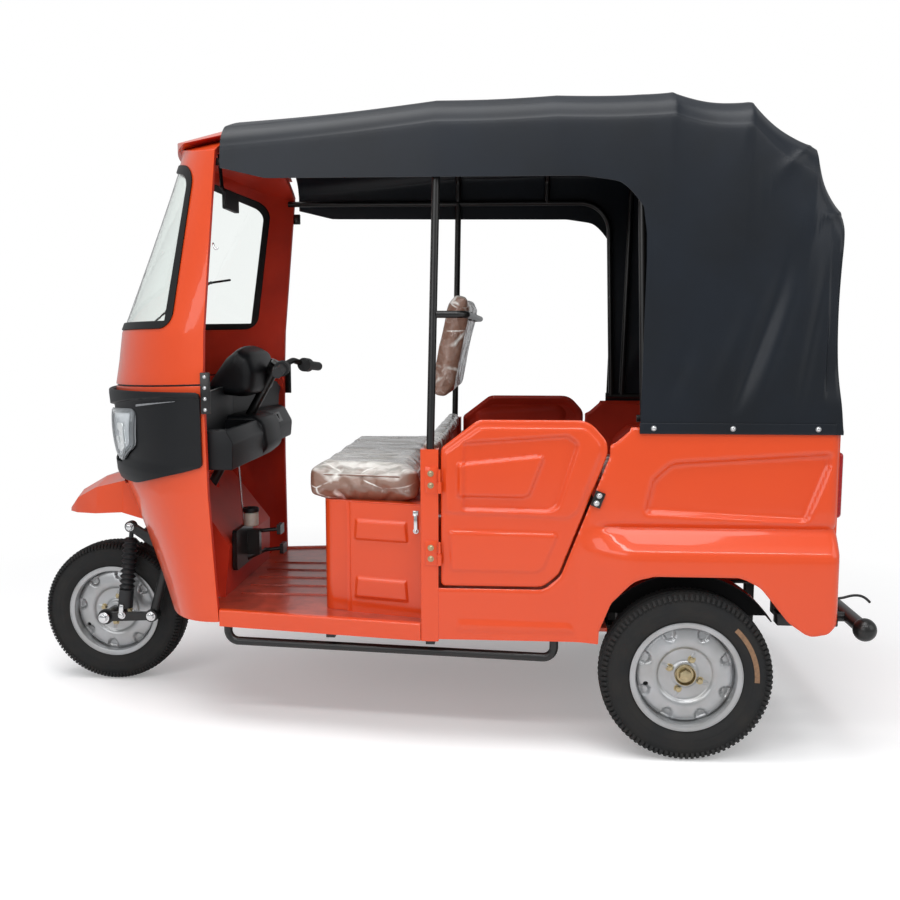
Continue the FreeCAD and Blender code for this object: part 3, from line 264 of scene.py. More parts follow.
def around(piece, centre, count, first=0.0):
    """Copies a piece evenly round an axle that runs along Y."""
    copies = []
    for k in range(count):
        turn = Matrix.Rotation(first + 2 * math.pi * k / count, 4, "Y")
        place = Matrix.Translation(centre) @ turn @ Matrix.Translation(-Vector(centre))
        copy = piece.copy()
        copy.data = piece.data.copy()
        copy.data.transform(place @ piece.matrix_world)
        copy.matrix_world = Matrix()
        bpy.context.collection.objects.link(copy)
        copies.append(copy)
    bpy.data.objects.remove(piece, do_unlink=True)
    return copies


def block(size, place, turn=(0, 0, 0), soft=0.0008, segments=2):
    """A small block with softened edges."""
    bpy.ops.object.select_all(action="DESELECT")
    bpy.ops.mesh.primitive_cube_add(size=1, location=place, rotation=turn)
    piece = bpy.context.active_object
    piece.scale = size
    bpy.ops.object.transform_apply(location=False, rotation=False, scale=True)
    modify(piece, "BEVEL", width=soft, segments=segments)
    return piece


# Moulded rubber, new: nearly black, dull, with a faint bloom of dust.
tyre_rubber = finish_like("tyre_rubber", "1A1B1C", 0.7, ("292622", 60, 0.5), (1.6, 0.15), Specular_IOR_Level=0.3)
wheel_radius = 0.26
wheel_places = {
    "front": (Vector((1.161, 0, wheel_radius)), 1, "front_wheel"),
    "rear_left": (Vector((-0.846, 0.585, wheel_radius)), 1, "rear_left_wheel"),
    "rear_right": (Vector((-0.846, -0.585, wheel_radius)), -1, "rear_right_wheel"),
}
half_tyre = [(0.0405, 0.1535), (0.0425, 0.1560), (0.0425, 0.1665), (0.0455, 0.1735), (0.0505, 0.1815), (0.0545, 0.1925),
             (0.0556, 0.1975), (0.0552, 0.1990), (0.0558, 0.2005), (0.0560, 0.2120), (0.0554, 0.2200), (0.0558, 0.2220),
             (0.0553, 0.2240), (0.0535, 0.2330), (0.0505, 0.2410), (0.0460, 0.2480), (0.0400, 0.2535), (0.0345, 0.2565),
             (0.0335, 0.2530), (0.0305, 0.2530), (0.0295, 0.2578), (0.0160, 0.2592), (0.0150, 0.2545), (0.0120, 0.2545),
             (0.0110, 0.2598), (0.0, 0.2600)]
tyre_line = [(-along, radius) for along, radius in half_tyre] + half_tyre[-2::-1]
for wheel, (centre, way, body) in wheel_places.items():
    parts = [spun("tyre", tyre_line, centre, way, 96, closed=True)]
    for side in (1, -1):
        lug = block((0.0098, 0.0200, 0.0190), centre + Vector((0, side * 0.0462, 0.2428)), (side * -0.80, 0, 0),
                    0.0012, 1)
        parts += around(lug, centre, 96 if wheel != "front" else 120, 0.03 * (side > 0))
        rib = block((0.0080, 0.0075, 0.0052), centre + Vector((0, side * 0.0222, 0.2570)), (0, 0, side * 0.5), 0.0006,
                    1)
        parts += around(rib, centre, 96)
    whole = joined(parts)
    settle(whole, wheel + "_tyre_moulded", tyre_rubber, body)
    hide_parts(wheel + "_tyre")


# Road wheels: pressed rims.
# Silver painted steel: a rolled rim with curled lips and a dished disc with
# half-round pressings, a raised ring, four nuts and a hole for the valve.
# Aluminium wheel paint: a soft metallic grey that brightens on each pressed edge.
silver_paint = finish_like("silver_wheel_paint", "AEB0B2", 0.34, ("8F8D88", 90, 0.5), (2.5, 0.05), Metallic=0.75,
                           Coat_Weight=0.25, Coat_Roughness=0.2)
# Passivated zinc plate: pale yellowish metal with small dull patches.
zinc_yellow = finish_like("yellow_zinc_plate", "B7AA86", 0.32, ("9C8C70", 12, 0.8), Metallic=0.9)
# Moulded rubber: plain dull black.
valve_rubber = finish_like("valve_rubber", "1B1B1C", 0.55, grained=(1.0, 0.05))


def cylinder(vertices, radius, depth, place, turn=(0, 0, 0)):
    """A plain round bar to start from, with nothing else selected."""
    bpy.ops.object.select_all(action="DESELECT")
    bpy.ops.mesh.primitive_cylinder_add(vertices=vertices, radius=radius, depth=depth, location=place, rotation=turn)
    return bpy.context.active_object


along_axle = (math.pi / 2, 0, 0)


def hex_nut(place, across, height, side):
    """A chamfered hexagon nut on a washer, on an axle that runs along Y."""
    out = Vector((0, side, 0))
    nut = cylinder(6, across / 1.732, height, Vector(place) + out * (height / 2 + 0.0012), along_axle)
    modify(nut, "BEVEL", width=height * 0.14, segments=2)
    washer = cylinder(20, across * 0.78, 0.0024, Vector(place) + out * 0.0012, along_axle)
    modify(washer, "BEVEL", width=0.0006, segments=1)
    return [nut, washer]


rim_barrel = [(-0.0480, 0.1660), (-0.0480, 0.1688), (-0.0455, 0.1692), (-0.0432, 0.1672), (-0.0428, 0.1560),
              (-0.0405, 0.1532), (-0.0300, 0.1528), (-0.0220, 0.1320), (-0.0190, 0.1308), (-0.0030, 0.1308),
              (0.0000, 0.1320), (0.0085, 0.1512), (0.0390, 0.1530), (0.0422, 0.1545), (0.0434, 0.1590),
              (0.0438, 0.1660), (0.0455, 0.1692), (0.0480, 0.1688), (0.0484, 0.1665)]
rim_disc = [(0.0050, 0.1452), (0.0125, 0.1447), (0.0180, 0.1425), (0.0205, 0.1390), (0.0218, 0.1345), (0.0228, 0.1300),
            (0.0237, 0.1255), (0.0245, 0.1205), (0.0252, 0.1150), (0.0257, 0.1090), (0.0258, 0.1030), (0.0254, 0.0970),
            (0.0242, 0.0915), (0.0215, 0.0868), (0.0178, 0.0836), (0.0152, 0.0806), (0.0140, 0.0770), (0.0137, 0.0720),
            (0.0138, 0.0660), (0.0138, 0.0600), (0.0138, 0.0540), (0.0138, 0.0480), (0.0142, 0.0430), (0.0160, 0.0395),
            (0.0186, 0.0370), (0.0192, 0.0330), (0.0188, 0.0280), (0.0160, 0.0240), (0.0130, 0.0150)]
valve_turn = {"front": -29, "rear_left": -14, "rear_right": -14}
valve_ring = 0.1215
nut_ring = 0.05
nuts_past_valve = math.radians(37)
disc_edge = 0.1440


def clamp(share):
    return min(max(share, 0), 1)


def round_axle(centre, radius, turn, out=0.0):
    """Point at a radius and an angle about an axle, and a distance along it."""
    return centre + Vector((radius * math.cos(turn), out, radius * math.sin(turn)))


def ladder(rungs):
    """Faces of a strip of rungs, each with four points."""
    return [(4 * k + j, 4 * k + j + 1, 4 * k + j + 5, 4 * k + j + 4) for k in range(rungs - 1) for j in range(3)]


def press_disc(disc, centre, way, phase):
    """Presses eight half-round pockets at the edge and ribs between the nuts."""
    for point in disc.data.vertices:
        place = point.co - centre
        radius = math.hypot(place.x, place.z)
        angle = math.atan2(place.z, place.x) - phase
        pocket = (angle + math.pi / 8) % (math.pi / 4) - math.pi / 8
        across, reach = radius * pocket, disc_edge - 0.004 - radius
        rib = (angle + math.pi / 4) % (math.pi / 2) - math.pi / 4
        push = 0.0
        if 0.110 < radius < disc_edge:
            edge = 0.0205 - math.hypot(across, max(reach, 0) * 0.72)
            push = -0.0100 * clamp(edge / 0.0045) * clamp((disc_edge - radius) / 0.003)
        if 0.042 < radius < 0.078:
            width = 1 - min(abs(radius * rib) / 0.0075, 1)
            push = 0.0042 * width * width * (3 - 2 * width) * math.sin((radius - 0.042) / 0.036 * math.pi)
        point.co.y += way * push


for wheel, (centre, way, body) in wheel_places.items():
    barrel = spun("barrel", rim_barrel, centre, way, 96)
    modify(barrel, "SOLIDIFY", thickness=0.0034, offset=-1)
    disc = spun("disc", rim_disc, centre, way, 168)
    turn = math.radians(valve_turn[wheel])
    press_disc(disc, centre, way, turn + nuts_past_valve)
    modify(disc, "SOLIDIFY", thickness=0.0036, offset=0)
    drill = cylinder(24, 0.0078, 0.08, round_axle(centre, valve_ring, turn, way * 0.02), along_axle)
    modify(disc, "BOOLEAN", operation="DIFFERENCE", object=drill)
    bpy.data.objects.remove(drill, do_unlink=True)
    hub = cylinder(40, 0.0325, 0.066, centre + Vector((0, 0 if wheel == "front" else way * -0.014, 0)), along_axle)
    modify(hub, "BEVEL", width=0.003, segments=2, limit_method="ANGLE")
    rim = settle(joined([barrel, disc, hub]), wheel + "_rim_pressed", silver_paint, body, 36)
    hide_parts(wheel + "_rim")
    nuts = []
    for k in range(4):
        spot = round_axle(centre, nut_ring, turn + nuts_past_valve + math.pi / 2 * k, way * 0.0142)
        nuts += hex_nut(spot, 0.016, 0.011, way)
    if wheel != "front":
        cup = [(0.0180, 0.0130), (0.0190, 0.0262), (0.0300, 0.0290), (0.0318, 0.0300), (0.0322, 0.0315),
               (0.0300, 0.0322), (0.0190, 0.0318), (0.0172, 0.0322)]
        nuts.append(spun("cup", cup, centre, way, 48))
        nuts += hex_nut(centre + Vector((0, way * 0.018, 0)), 0.034, 0.018, way)
    settle(joined(nuts), wheel + "_wheel_nuts", zinc_yellow, body, 30)
    bpy.ops.object.select_all(action="DESELECT")
    bpy.ops.mesh.primitive_cone_add(vertices=14, radius1=0.0052, radius2=0.0036, depth=0.030,
                                    rotation=(-way * math.pi / 2, 0, 0),
                                    location=round_axle(centre, 0.1330, turn, -way * 0.022))
    stem = bpy.context.active_object
    modify(stem, "BEVEL", width=0.001, segments=2)
    foot = cylinder(24, 0.0105, 0.0030, round_axle(centre, valve_ring, turn, way * 0.0085), along_axle)
    settle(joined([stem, foot]), wheel + "_valve_stem", valve_rubber, body, 35)

# Moulding transfer on the rubber: a plain tan strip.
tan_paint = finish_like("tan_transfer_strip", "8C6A4C", 0.6, ("6E5440", 9, 0.8))
centre = wheel_places["rear_left"][0]
arc = [round_axle(centre, radius, math.radians(133 + 2.25 * k), 0.0562) for k in range(23)
       for radius in (0.2000, 0.2035, 0.2110, 0.2145)]
strip = mesh_of("strip", arc, ladder(23))
modify(strip, "SOLIDIFY", thickness=0.0008, offset=0)
settle(strip, "rear_left_sidewall_strip", tan_paint, "rear_left_wheel", 60)


# Steering and front suspension.
# Black painted steel column, fork and links, zinc axle nuts, and two dampers
# with ribbed rubber bellows. The bar carries moulded grips and levers.
def cad_copy(node):
    """A copy of a CAD piece in the same place, free to be shaped."""
    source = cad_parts[node]
    piece = source.copy()
    piece.data = source.data.copy()
    bpy.context.collection.objects.link(piece)
    piece.parent = None
    piece.matrix_world = source.matrix_world
    only(piece)
    if piece.data.has_custom_normals:
        bpy.ops.mesh.customdata_custom_splitnormals_clear()
    return piece


def pressed_copy(node, made, material, edge=0.0, body="body", angle=28, flat=0.4):
    """A smooth copy of a CAD piece, merged and with its sharp edges eased."""
    piece = cleaned(cad_copy(node), 0.00002, flat=flat)
    if edge:
        modify(piece, "BEVEL", width=edge, segments=2, limit_method="ANGLE", angle_limit=math.radians(38),
               use_clamp_overlap=True, harden_normals=False)
    settle(piece, node + "_" + made, material, body, angle)
    modify(piece, "WEIGHTED_NORMAL", keep_sharp=True, weight=80)
    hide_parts(node)
    return piece


# Sprayed chassis paint: black with a soft sheen and thin dust.
satin_black = finish_like("black_chassis_paint", "0E0F10", 0.36, ("1F1B17", 80, 0.35), (3.0, 0.08),
                          Specular_IOR_Level=0.35, Coat_Weight=0.25, Coat_Roughness=0.2)
# Grained ABS: charcoal black with a broad, weak highlight.
moulded_plastic = finish_like("moulded_black_plastic", "0A0C0F", 0.46, ("101317", 120, 0.5), (1.2, 0.10),
                              Specular_IOR_Level=0.30)
# Moulded rubber: dull black, so the ribs show as soft lines.
bellows_rubber = finish_like("bellows_rubber", "1A1B1D", 0.55, grained=(1.4, 0.08))
# Knurled rubber: dull black with a fine pimpled grain.
grip_rubber = finish_like("grip_rubber", "1C1D1F", 0.62)
grain(grip_rubber, 4.0, 0.5, kind="ShaderNodeTexVoronoi")
pressed_copy("steering_column", "painted", satin_black, body="steering")
pressed_copy("front_fork", "painted", satin_black, 0.0012, body="steering")
pressed_copy("leading_links", "painted", satin_black, 0.001, body="steering")
pressed_copy("front_dampers", "moulded", bellows_rubber, body="steering")
pressed_copy("handlebar_grips", "moulded", grip_rubber, 0.0015, body="steering")
# Bright chrome plate: mirrors the pale room and the dark body.
chrome = finish_like("chrome_plate", "D9DADB", 0.12, ("B8B9BB", 30, 0.4), Metallic=1.0)
nuts = []
for side in (1, -1):
    for x, y, z, size, height in ((1.161, 0.1395, 0.26, 0.026, 0.014), (0.991, 0.1268, 0.266, 0.022, 0.012),
                                  (1.099, 0.1268, 0.268, 0.018, 0.011), (1.063, 0.1105, 0.592, 0.018, 0.010)):
        nuts += hex_nut((x, side * y, z), size, height, side)
settle(joined(nuts), "link_and_axle_nuts", chrome, "steering", 30)


# Cab and nose shell.
# Deep orange enamel on pressed steel: leg shields, windscreen frame, roof
# visor and mudguard. Sprayed and baked, so it is glossy with a faint ripple.
# Baked gloss enamel: deep orange with sharp lamp highlights and a faint orange-peel ripple.
enamel = finish_like("orange_enamel", "DC4B1D", 0.30, ("D8471C", 420, 0.8), (9.0, 0.014, 2.0), Coat_Weight=0.6,
                     Coat_Roughness=0.05, Specular_IOR_Level=0.25)
# The same paint on the inside faces, duller because it is thin and unpolished there, and painted deeper red as the
# shade inside the body.
shaded_inner_enamel = finish_like("inner_enamel_painted_shade", "CE3823", 0.45, ("B02C1C", 200, 0.8), (5.0, 0.05),
                           Specular_IOR_Level=0.15)
# Extruded rubber: matt black frame round the glass.
seal_rubber = finish_like("seal_rubber", "111213", 0.5, grained=(1.5, 0.06), Specular_IOR_Level=0.35)
# Toughened glass: clear, with a light sheen at a slant.
screen_glass = finish_like("screen_glass", "F4F8F6", 0.0, Transmission_Weight=1.0, IOR=1.06, Coat_Weight=0.35,
                           Coat_Roughness=0.02)


def second_finish(piece, material, wanted):
    """Gives the faces that a test picks a second finish."""
    piece.data.materials.append(material)
    index = len(piece.data.materials) - 1
    for face in piece.data.polygons:
        if wanted(face.center, face.normal):
            face.material_index = index


def faces_inwards(centre, normal):
    away = Vector((centre.x - 0.30, centre.y, centre.z - 1.15)).normalized()
    return away.dot(normal) < -0.30


def groove_rise(x):
    """The groove under the windscreen climbs towards the rear of the cab."""
    return 0.018 + 0.016 * clamp((1.08 - x) / 0.442)


shields = pressed_copy("leg_shields", "enamelled", enamel, 0.0025)
screen_frame = pressed_copy("windscreen_frame", "enamelled", enamel, 0.0025)
for piece in (shields, screen_frame):
    for point in piece.data.vertices:
        below, above = (1.090 - point.co.z) / 0.150, (point.co.z - 1.100) / 0.090
        point.co.z += groove_rise(point.co.x) * (1 - min(max(below, above, 0), 1))
    # Faces that turn inwards get the inner enamel, painted deeper red as shade.
    second_finish(piece, shaded_inner_enamel, faces_inwards)
visor = pressed_copy("roof_visor", "enamelled", enamel, 0.002)
# The visor's underside gets the inner enamel, painted deeper red as shade.
second_finish(visor, shaded_inner_enamel, lambda c, n: n.z < -0.5 and c.x < 0.72)
pressed_copy("front_mudguard", "enamelled", enamel, 0.003, angle=50)
pressed_copy("windscreen_seal", "extruded", seal_rubber, 0.003)
pressed_copy("windscreen_glass", "curved", screen_glass, flat=0.0)
# The wheel well is all inner enamel, painted deeper red as shade.
pressed_copy("wheel_well", "enamelled", shaded_inner_enamel)
pressed_copy("wiper", "moulded", moulded_plastic, 0.0008)
pressed_copy("interior_mirror", "moulded", moulded_plastic, 0.002)


def rounded(corners, radii, steps=7):
    """Closed outline of (u, v) corners, each turned with its own radius."""
    if not isinstance(radii, (list, tuple)):
        radii = [radii] * len(corners)
    line = []
    for k, corner in enumerate(corners):
        here = Vector(corner)
        a = Vector(corners[k - 1]) - here
        b = Vector(corners[(k + 1) % len(corners)]) - here
        half = a.angle(b) / 2
        back = min(radii[k] / math.tan(half), 0.48 * min(a.length, b.length)) if half < 1.55 else 0
        if back <= 0:
            line.append(here)
            continue
        p, q = here + a.normalized() * back, here + b.normalized() * back
        for step in range(steps + 1):
            t = step / steps
            line.append(p * (1 - t) ** 2 + here * 2 * t * (1 - t) + q * t * t)
    return line


def depth_inside(outline, u, v):
    """How far points lie inside an outline, below zero outside it."""
    nearest = numpy.full(len(u), 1e9)
    within = numpy.zeros(len(u), bool)
    for a, b in zip(outline, outline[1:] + outline[:1]):
        run, rise = b.x - a.x, b.y - a.y
        length = run * run + rise * rise
        if length < 1e-14:
            continue
        share = numpy.clip(((u - a.x) * run + (v - a.y) * rise) / length, 0, 1)
        nearest = numpy.minimum(nearest, numpy.hypot(u - a.x - share * run, v - a.y - share * rise))
        if rise:
            crosses = ((a.y > v) != (b.y > v)) & (u < a.x + (v - a.y) * run / rise)
            within ^= crosses
    return numpy.where(within, nearest, -nearest)


def ease(depth, width):
    share = numpy.clip(depth / width, 0, 1)
    return share * share * (3 - 2 * share)


def trimmed(name, points, faces, keep):
    """A mesh cut along the zero line of a value at its points."""
    kept, cut, placed, rings = {}, {}, [], []
    for face in faces:
        ring = []
        for a, b in zip(face, face[1:] + face[:1]):
            if keep[a] > 0:
                if a not in kept:
                    kept[a] = len(placed)
                    placed.append(points[a])
                ring.append(kept[a])
            if (keep[a] > 0) != (keep[b] > 0):
                key = (min(a, b), max(a, b))
                if key not in cut:
                    cut[key] = len(placed)
                    placed.append(points[a].lerp(points[b], float(keep[a] / (keep[a] - keep[b]))))
                ring.append(cut[key])
        if len(ring) > 2:
            rings.append(ring)
    return cleaned(mesh_of(name, placed, rings), 0.0006)


def lattice(us, vs):
    """Two even runs of numbers as a grid: flat lists of both, and its faces."""
    u, v = numpy.meshgrid(us, vs, indexing="ij")
    n = len(vs)
    faces = [(i * n + j, (i + 1) * n + j, (i + 1) * n + j + 1, i * n + j + 1)
             for i in range(len(us) - 1) for j in range(n - 1)]
    return u.ravel(), v.ravel(), faces


def other_side(piece, name, body="body"):
    """The same enamelled piece for the right-hand side."""
    twin = piece.copy()
    twin.data = piece.data.copy()
    twin.data.transform(Matrix.Scale(-1, 4, (0, 1, 0)))
    twin.data.flip_normals()
    bpy.context.collection.objects.link(twin)
    places = [face.material_index for face in twin.data.polygons]
    finishes = list(twin.data.materials)
    settle(twin, name, enamel, body)
    for extra in finishes[1:]:
        twin.data.materials.append(extra)
    for face, index in zip(twin.data.polygons, places):
        face.material_index = index
    return twin


# Nose moulding.
# One black plastic moulding wraps the nose, with a lip at the top, a rolled
# foot and a bright strip behind each lamp. A rubber strip seals the groove.
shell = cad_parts["leg_shields"]
shell_skin = BVHTree.FromPolygons([shell.matrix_world @ v.co for v in shell.data.vertices],
                                  [f.vertices for f in shell.data.polygons])
wrap_centre = Vector((0.70, 0, 0))


def on_nose(turn, z, proud):
    """Point off the cab shell, from the side angle at one height."""
    way = Vector((math.cos(turn), math.sin(turn), 0))
    below = min(z, 1.086)
    start = wrap_centre + way * 0.9 + Vector((0, 0, below))
    place, normal, _, _ = shell_skin.ray_cast(start, -way)
    return place + normal.normalized() * proud + Vector((0, 0, z - below))


def wrap(turns, heights, proud):
    """Grid of points wrapped round the nose, with its lists of places."""
    turn, z, faces = lattice(turns, heights)
    points = [on_nose(float(t), float(h), float(p)) for t, h, p in zip(turn, z, proud(turn, z))]
    return points, turn, z, faces


def rolled(depth, radius):
    """Drop of a surface that rolls away at its edge."""
    into = numpy.clip(depth, 0, radius)
    return radius - numpy.sqrt(numpy.maximum(radius ** 2 - (radius - into) ** 2, 0))


def nose_profile(turn, z):
    side = numpy.abs(turn)
    back = numpy.clip((numpy.degrees(side) - 35) / 48, 0, 1)
    lip = ease(z - 1.046 - 0.040 * back, 0.006) * (0.013 - 0.006 * back)
    edge = rolled(1.1040 + 0.0030 * back - z, 0.006)
    foot = ease(0.896 - 0.020 * back - z, 0.034) * (0.017 - 0.012 * back)
    rolls = 0.010 * (1 - ease(z - 0.790, 0.040)) * (1 - back)
    return 0.0115 + lip + foot - 0.7 * edge - rolls


turns = numpy.radians(numpy.linspace(-97, 97, 145))
heights = numpy.concatenate([numpy.linspace(0.790, 1.034, 46), numpy.linspace(1.0372, 1.1200, 32)])
points, turn, z, faces = wrap(turns, heights, nose_profile)
x = numpy.array([p.x for p in points])
y = numpy.abs(numpy.array([p.y for p in points]))
moulding = rounded([(0.650, 0.872), (0.900, 0.806), (1.40, 0.798), (1.40, 1.1040), (1.08, 1.1045), (0.648, 1.1070)],
                   [0.006, 0.1, 0.01, 0.01, 0.1, 0.006])
lamp_radii = [0.020, 0.018, 0.040, 0.030, 0.020, 0.020]
lamp_line = rounded([(0.254, 1.036), (0.456, 1.046), (0.446, 0.924), (0.352, 0.864), (0.266, 0.858), (0.250, 0.930)],
                    lamp_radii)
keep = numpy.minimum(depth_inside(moulding, x, z), -depth_inside(lamp_line, y, z) - 0.0005)
nose = trimmed("nose", points, faces, keep)
modify(nose, "SOLIDIFY", thickness=0.0105, offset=-1)
settle(nose, "nose_panel_moulded", moulded_plastic, angle=32)
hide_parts("nose_panel")

points, turn, z, faces = wrap(numpy.radians(numpy.linspace(-96, 96, 97)), numpy.array([1.098, 1.112, 1.126, 1.142]),
                              lambda t, h: -0.0060 + 0 * t)
groove_seal = mesh_of("groove_seal", points, faces)
modify(groove_seal, "SOLIDIFY", thickness=0.0020, offset=-1)
settle(groove_seal, "groove_seal_strip", seal_rubber)

# Polished trim: a thin bright line.
bright_strip = finish_like("bright_trim_strip", "D6D8DA", 0.16, ("B4B6B9", 20, 0.4), Metallic=1.0)
sides = ((1, "left"), (-1, "right"))
for side, word in sides:
    points, turn, z, faces = wrap(side * numpy.radians(numpy.linspace(64, 91, 61)), numpy.linspace(1.046, 1.088, 31),
                                  lambda t, h: 0.0150 + 0 * t)
    line = rounded([(math.radians(68.5), 1.0550), (math.radians(69.0), 1.0630), (math.radians(88), 1.0790),
                    (math.radians(87), 1.0765)], 0.001)
    strip = trimmed("strip", points, faces, depth_inside(line, numpy.abs(turn), z))
    if side < 0:
        strip.data.flip_normals()
    modify(strip, "SOLIDIFY", thickness=0.0022, offset=-1)
    settle(strip, "bright_strip_" + word, bright_strip)


# Headlamps.
# Clear moulded lenses over a silvered reflector and a white J-shaped light
# guide, with a grey bezel round the opening.
# Clear polycarbonate: nearly unseen but for its bright rim.
clear_lens = finish_like("clear_lens", "F4F6F7", 0.03, Transmission_Weight=1.0, IOR=1.10)
# Vacuum silvered plastic: pale and broken into soft facets.
silvered = finish_like("silvered_reflector", "E4E7EA", 0.26, grained=(14.0, 0.9, 1.0), Metallic=0.55)
# Painted plastic: a mid grey line round the lens.
grey_bezel = finish_like("grey_bezel_plastic", "6F7376", 0.34, ("5C6063", 25, 0.5), Coat_Weight=0.3, Coat_Roughness=0.1)
# White acrylic: the brightest shape in the lamp.
light_guide = finish_like("white_light_guide", "FBFBFA", 0.3, ("DDE0DF", 8, 0.5), Coat_Weight=0.5, Coat_Roughness=0.1)
guide_line = rounded([(0.366, 0.996), (0.402, 0.996), (0.398, 0.918), (0.372, 0.900), (0.336, 0.904), (0.338, 0.950),
                      (0.356, 0.950), (0.358, 0.926), (0.376, 0.930), (0.380, 0.972), (0.366, 0.974)], 0.004)


def lamp_part(name, line, proud, thick, material, side, hollow=None, grow=0.0, bulge=0.020,
              grid=(113, 81)):
    """A layer of the lamp, cut to an outline seen from the front."""
    def swell(t, h):
        across = numpy.clip(1 - ((numpy.degrees(t) - 48) / 23) ** 2, 0, 1)
        return proud + bulge * across ** 0.5 * numpy.clip(1 - ((h - 0.955) / 0.098) ** 2, 0, 1) ** 0.5
    points, turn, z, faces = wrap(numpy.radians(numpy.linspace(22, 78, grid[0])), numpy.linspace(0.852, 1.052, grid[1]),
                                  swell)
    x, y = numpy.array([p.x for p in points]), numpy.array([p.y for p in points])
    keep = depth_inside(line, y, z) + grow
    if hollow:
        keep = numpy.minimum(keep, hollow - keep)
    piece = trimmed("layer", points, faces, keep)
    modify(piece, "SOLIDIFY", thickness=thick, offset=-1)
    if side < 0:
        piece.data.transform(Matrix.Scale(-1, 4, (0, 1, 0)))
        piece.data.flip_normals()
    return settle(piece, name, material)


inner_line = rounded([(0.2555, 1.0345), (0.4545, 1.0443), (0.4445, 0.9248), (0.3515, 0.8657), (0.2670, 0.8597),
                      (0.2517, 0.930)], lamp_radii)
for side, word in sides:
    lens = lamp_part("headlamp_lens_" + word, inner_line, 0.0112, 0.0018, clear_lens, side)
    lamp_part("headlamp_reflector_" + word, inner_line, 0.0022, 0.0016, silvered, side)
    lamp_part("headlamp_bezel_" + word, inner_line, 0.0088, 0.0060, grey_bezel, side, 0.015, 0.004)
    lamp_part("headlamp_housing_" + word, inner_line, 0.0016, 0.0010, moulded_plastic, side, None,
              0.010, 0.0, (57, 41))
    lamp_part("headlamp_guide_" + word, guide_line, 0.0070, 0.0040, light_guide, side)
    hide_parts("headlamps")


# Driver's place.
# Orange pressed seat box and posts, brown leatherette seats that are still
# in their clear film, black tube hoop and moulded dash parts.
# Enamel under loose protective film: painted reddish brown as the shade inside the cab, with wavy pale reflections from
# its rippled clear coat.
floor_enamel_painted_shade = finish_like("filmed_floor_enamel_painted_shade", "BC4A34", 0.36, ("8A3224", 60, 0.8), Coat_Weight=0.35,
                           Coat_Roughness=0.10)
grain(floor_enamel_painted_shade, 40.0, 1.2, 4.0, socket="Coat Normal")
pan = pressed_copy("floor_pan", "enamelled", floor_enamel_painted_shade, 0.0015)
# The sill faces keep the orange enamel, and the rest of the pan stays the darker copy with painted shade.
second_finish(pan, enamel, lambda c, n: abs(c.y) > 0.490 + 0.110 * min((0.626 - c.x) / 0.667, 1) - 0.0285)
pressed_copy("seat_base", "enamelled", enamel, 0.004)


def side_points(along, out, up):
    """Points of a side panel, from three lists of places."""
    return [Vector((float(x), float(y), float(z))) for x, y, z in zip(along, out, up)]


u, v, faces = lattice(numpy.linspace(-0.050, 0.214, 97), numpy.linspace(0.388, 0.751, 121))
height = 0.0065 - 0.004 * numpy.exp(-((u - 0.204) / 0.003) ** 2)
for low, high in ((0.438, 0.512), (0.628, 0.700)):
    swage = rounded([(0.004, low), (0.190, low), (0.184, high), (0.010, high)], 0.010)
    height = height + 0.010 * ease(depth_inside(swage, u, v), 0.012)
box_side = 0.420 + 0.2609 * (0.291 - u)
side_skin = mesh_of("side_skin", side_points(u, box_side + height, v), faces)
modify(side_skin, "SOLIDIFY", thickness=0.0040, offset=1)
settle(side_skin, "seat_base_side_left", enamel)
other_side(side_skin, "seat_base_side_right")
posts = pressed_copy("door_posts", "enamelled", enamel, 0.002)
# The posts' inward faces get the inner enamel, painted deeper red as shade.
second_finish(posts, shaded_inner_enamel, lambda c, n: n.y * c.y < -0.3 * abs(c.y) and abs(c.y) > 0.5 and c.z > 0.42)
headset_line = rounded([(0.582, 1.080), (0.572, 1.150), (0.592, 1.222), (0.640, 1.246), (0.690, 1.206),
                        (0.752, 1.120), (0.764, 1.096), (0.736, 1.072), (0.640, 1.062)],
                       [0.03, 0.05, 0.03, 0.02, 0.06, 0.05, 0.02, 0.03, 0.03], 5)
middle = Vector((0.655, 1.125))
points, faces = [], []
stations = [math.radians(a) for a in (-90, -78, -64, -48, -32, -16, 0, 16, 32, 48, 64, 78, 90)]
for a in stations:
    size = max(math.cos(a), 0.02) ** 0.22
    for corner in headset_line:
        spot = middle + (corner - middle) * size
        points.append((spot.x, 0.172 * math.sin(a), spot.y))
n = len(headset_line)
for i in range(len(stations) - 1):
    faces += [(i * n + j, i * n + (j + 1) % n, (i + 1) * n + (j + 1) % n, (i + 1) * n + j) for j in range(n)]
faces += [tuple(range(n - 1, -1, -1)), tuple(range((len(stations) - 1) * n, len(stations) * n))]
headset = cleaned(mesh_of("headset", points, faces), outwards=True)
settle(headset, "handlebar_cover_moulded", moulded_plastic, "steering", 50)
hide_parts("handlebar_cover")


def shelf(outline, y0, y1, soft=0.008):
    """A moulded box drawn from its side view, with eased edges."""
    count = len(outline)
    points = [(x, y0, z) for x, z in outline] + [(x, y1, z) for x, z in outline]
    faces = [(j, (j + 1) % count, count + (j + 1) % count, count + j) for j in range(count)]
    faces += [tuple(range(count - 1, -1, -1)), tuple(range(count, 2 * count))]
    piece = cleaned(mesh_of("shelf", points, faces), outwards=True)
    modify(piece, "BEVEL", width=soft, segments=3, limit_method="ANGLE", angle_limit=math.radians(30))
    return piece


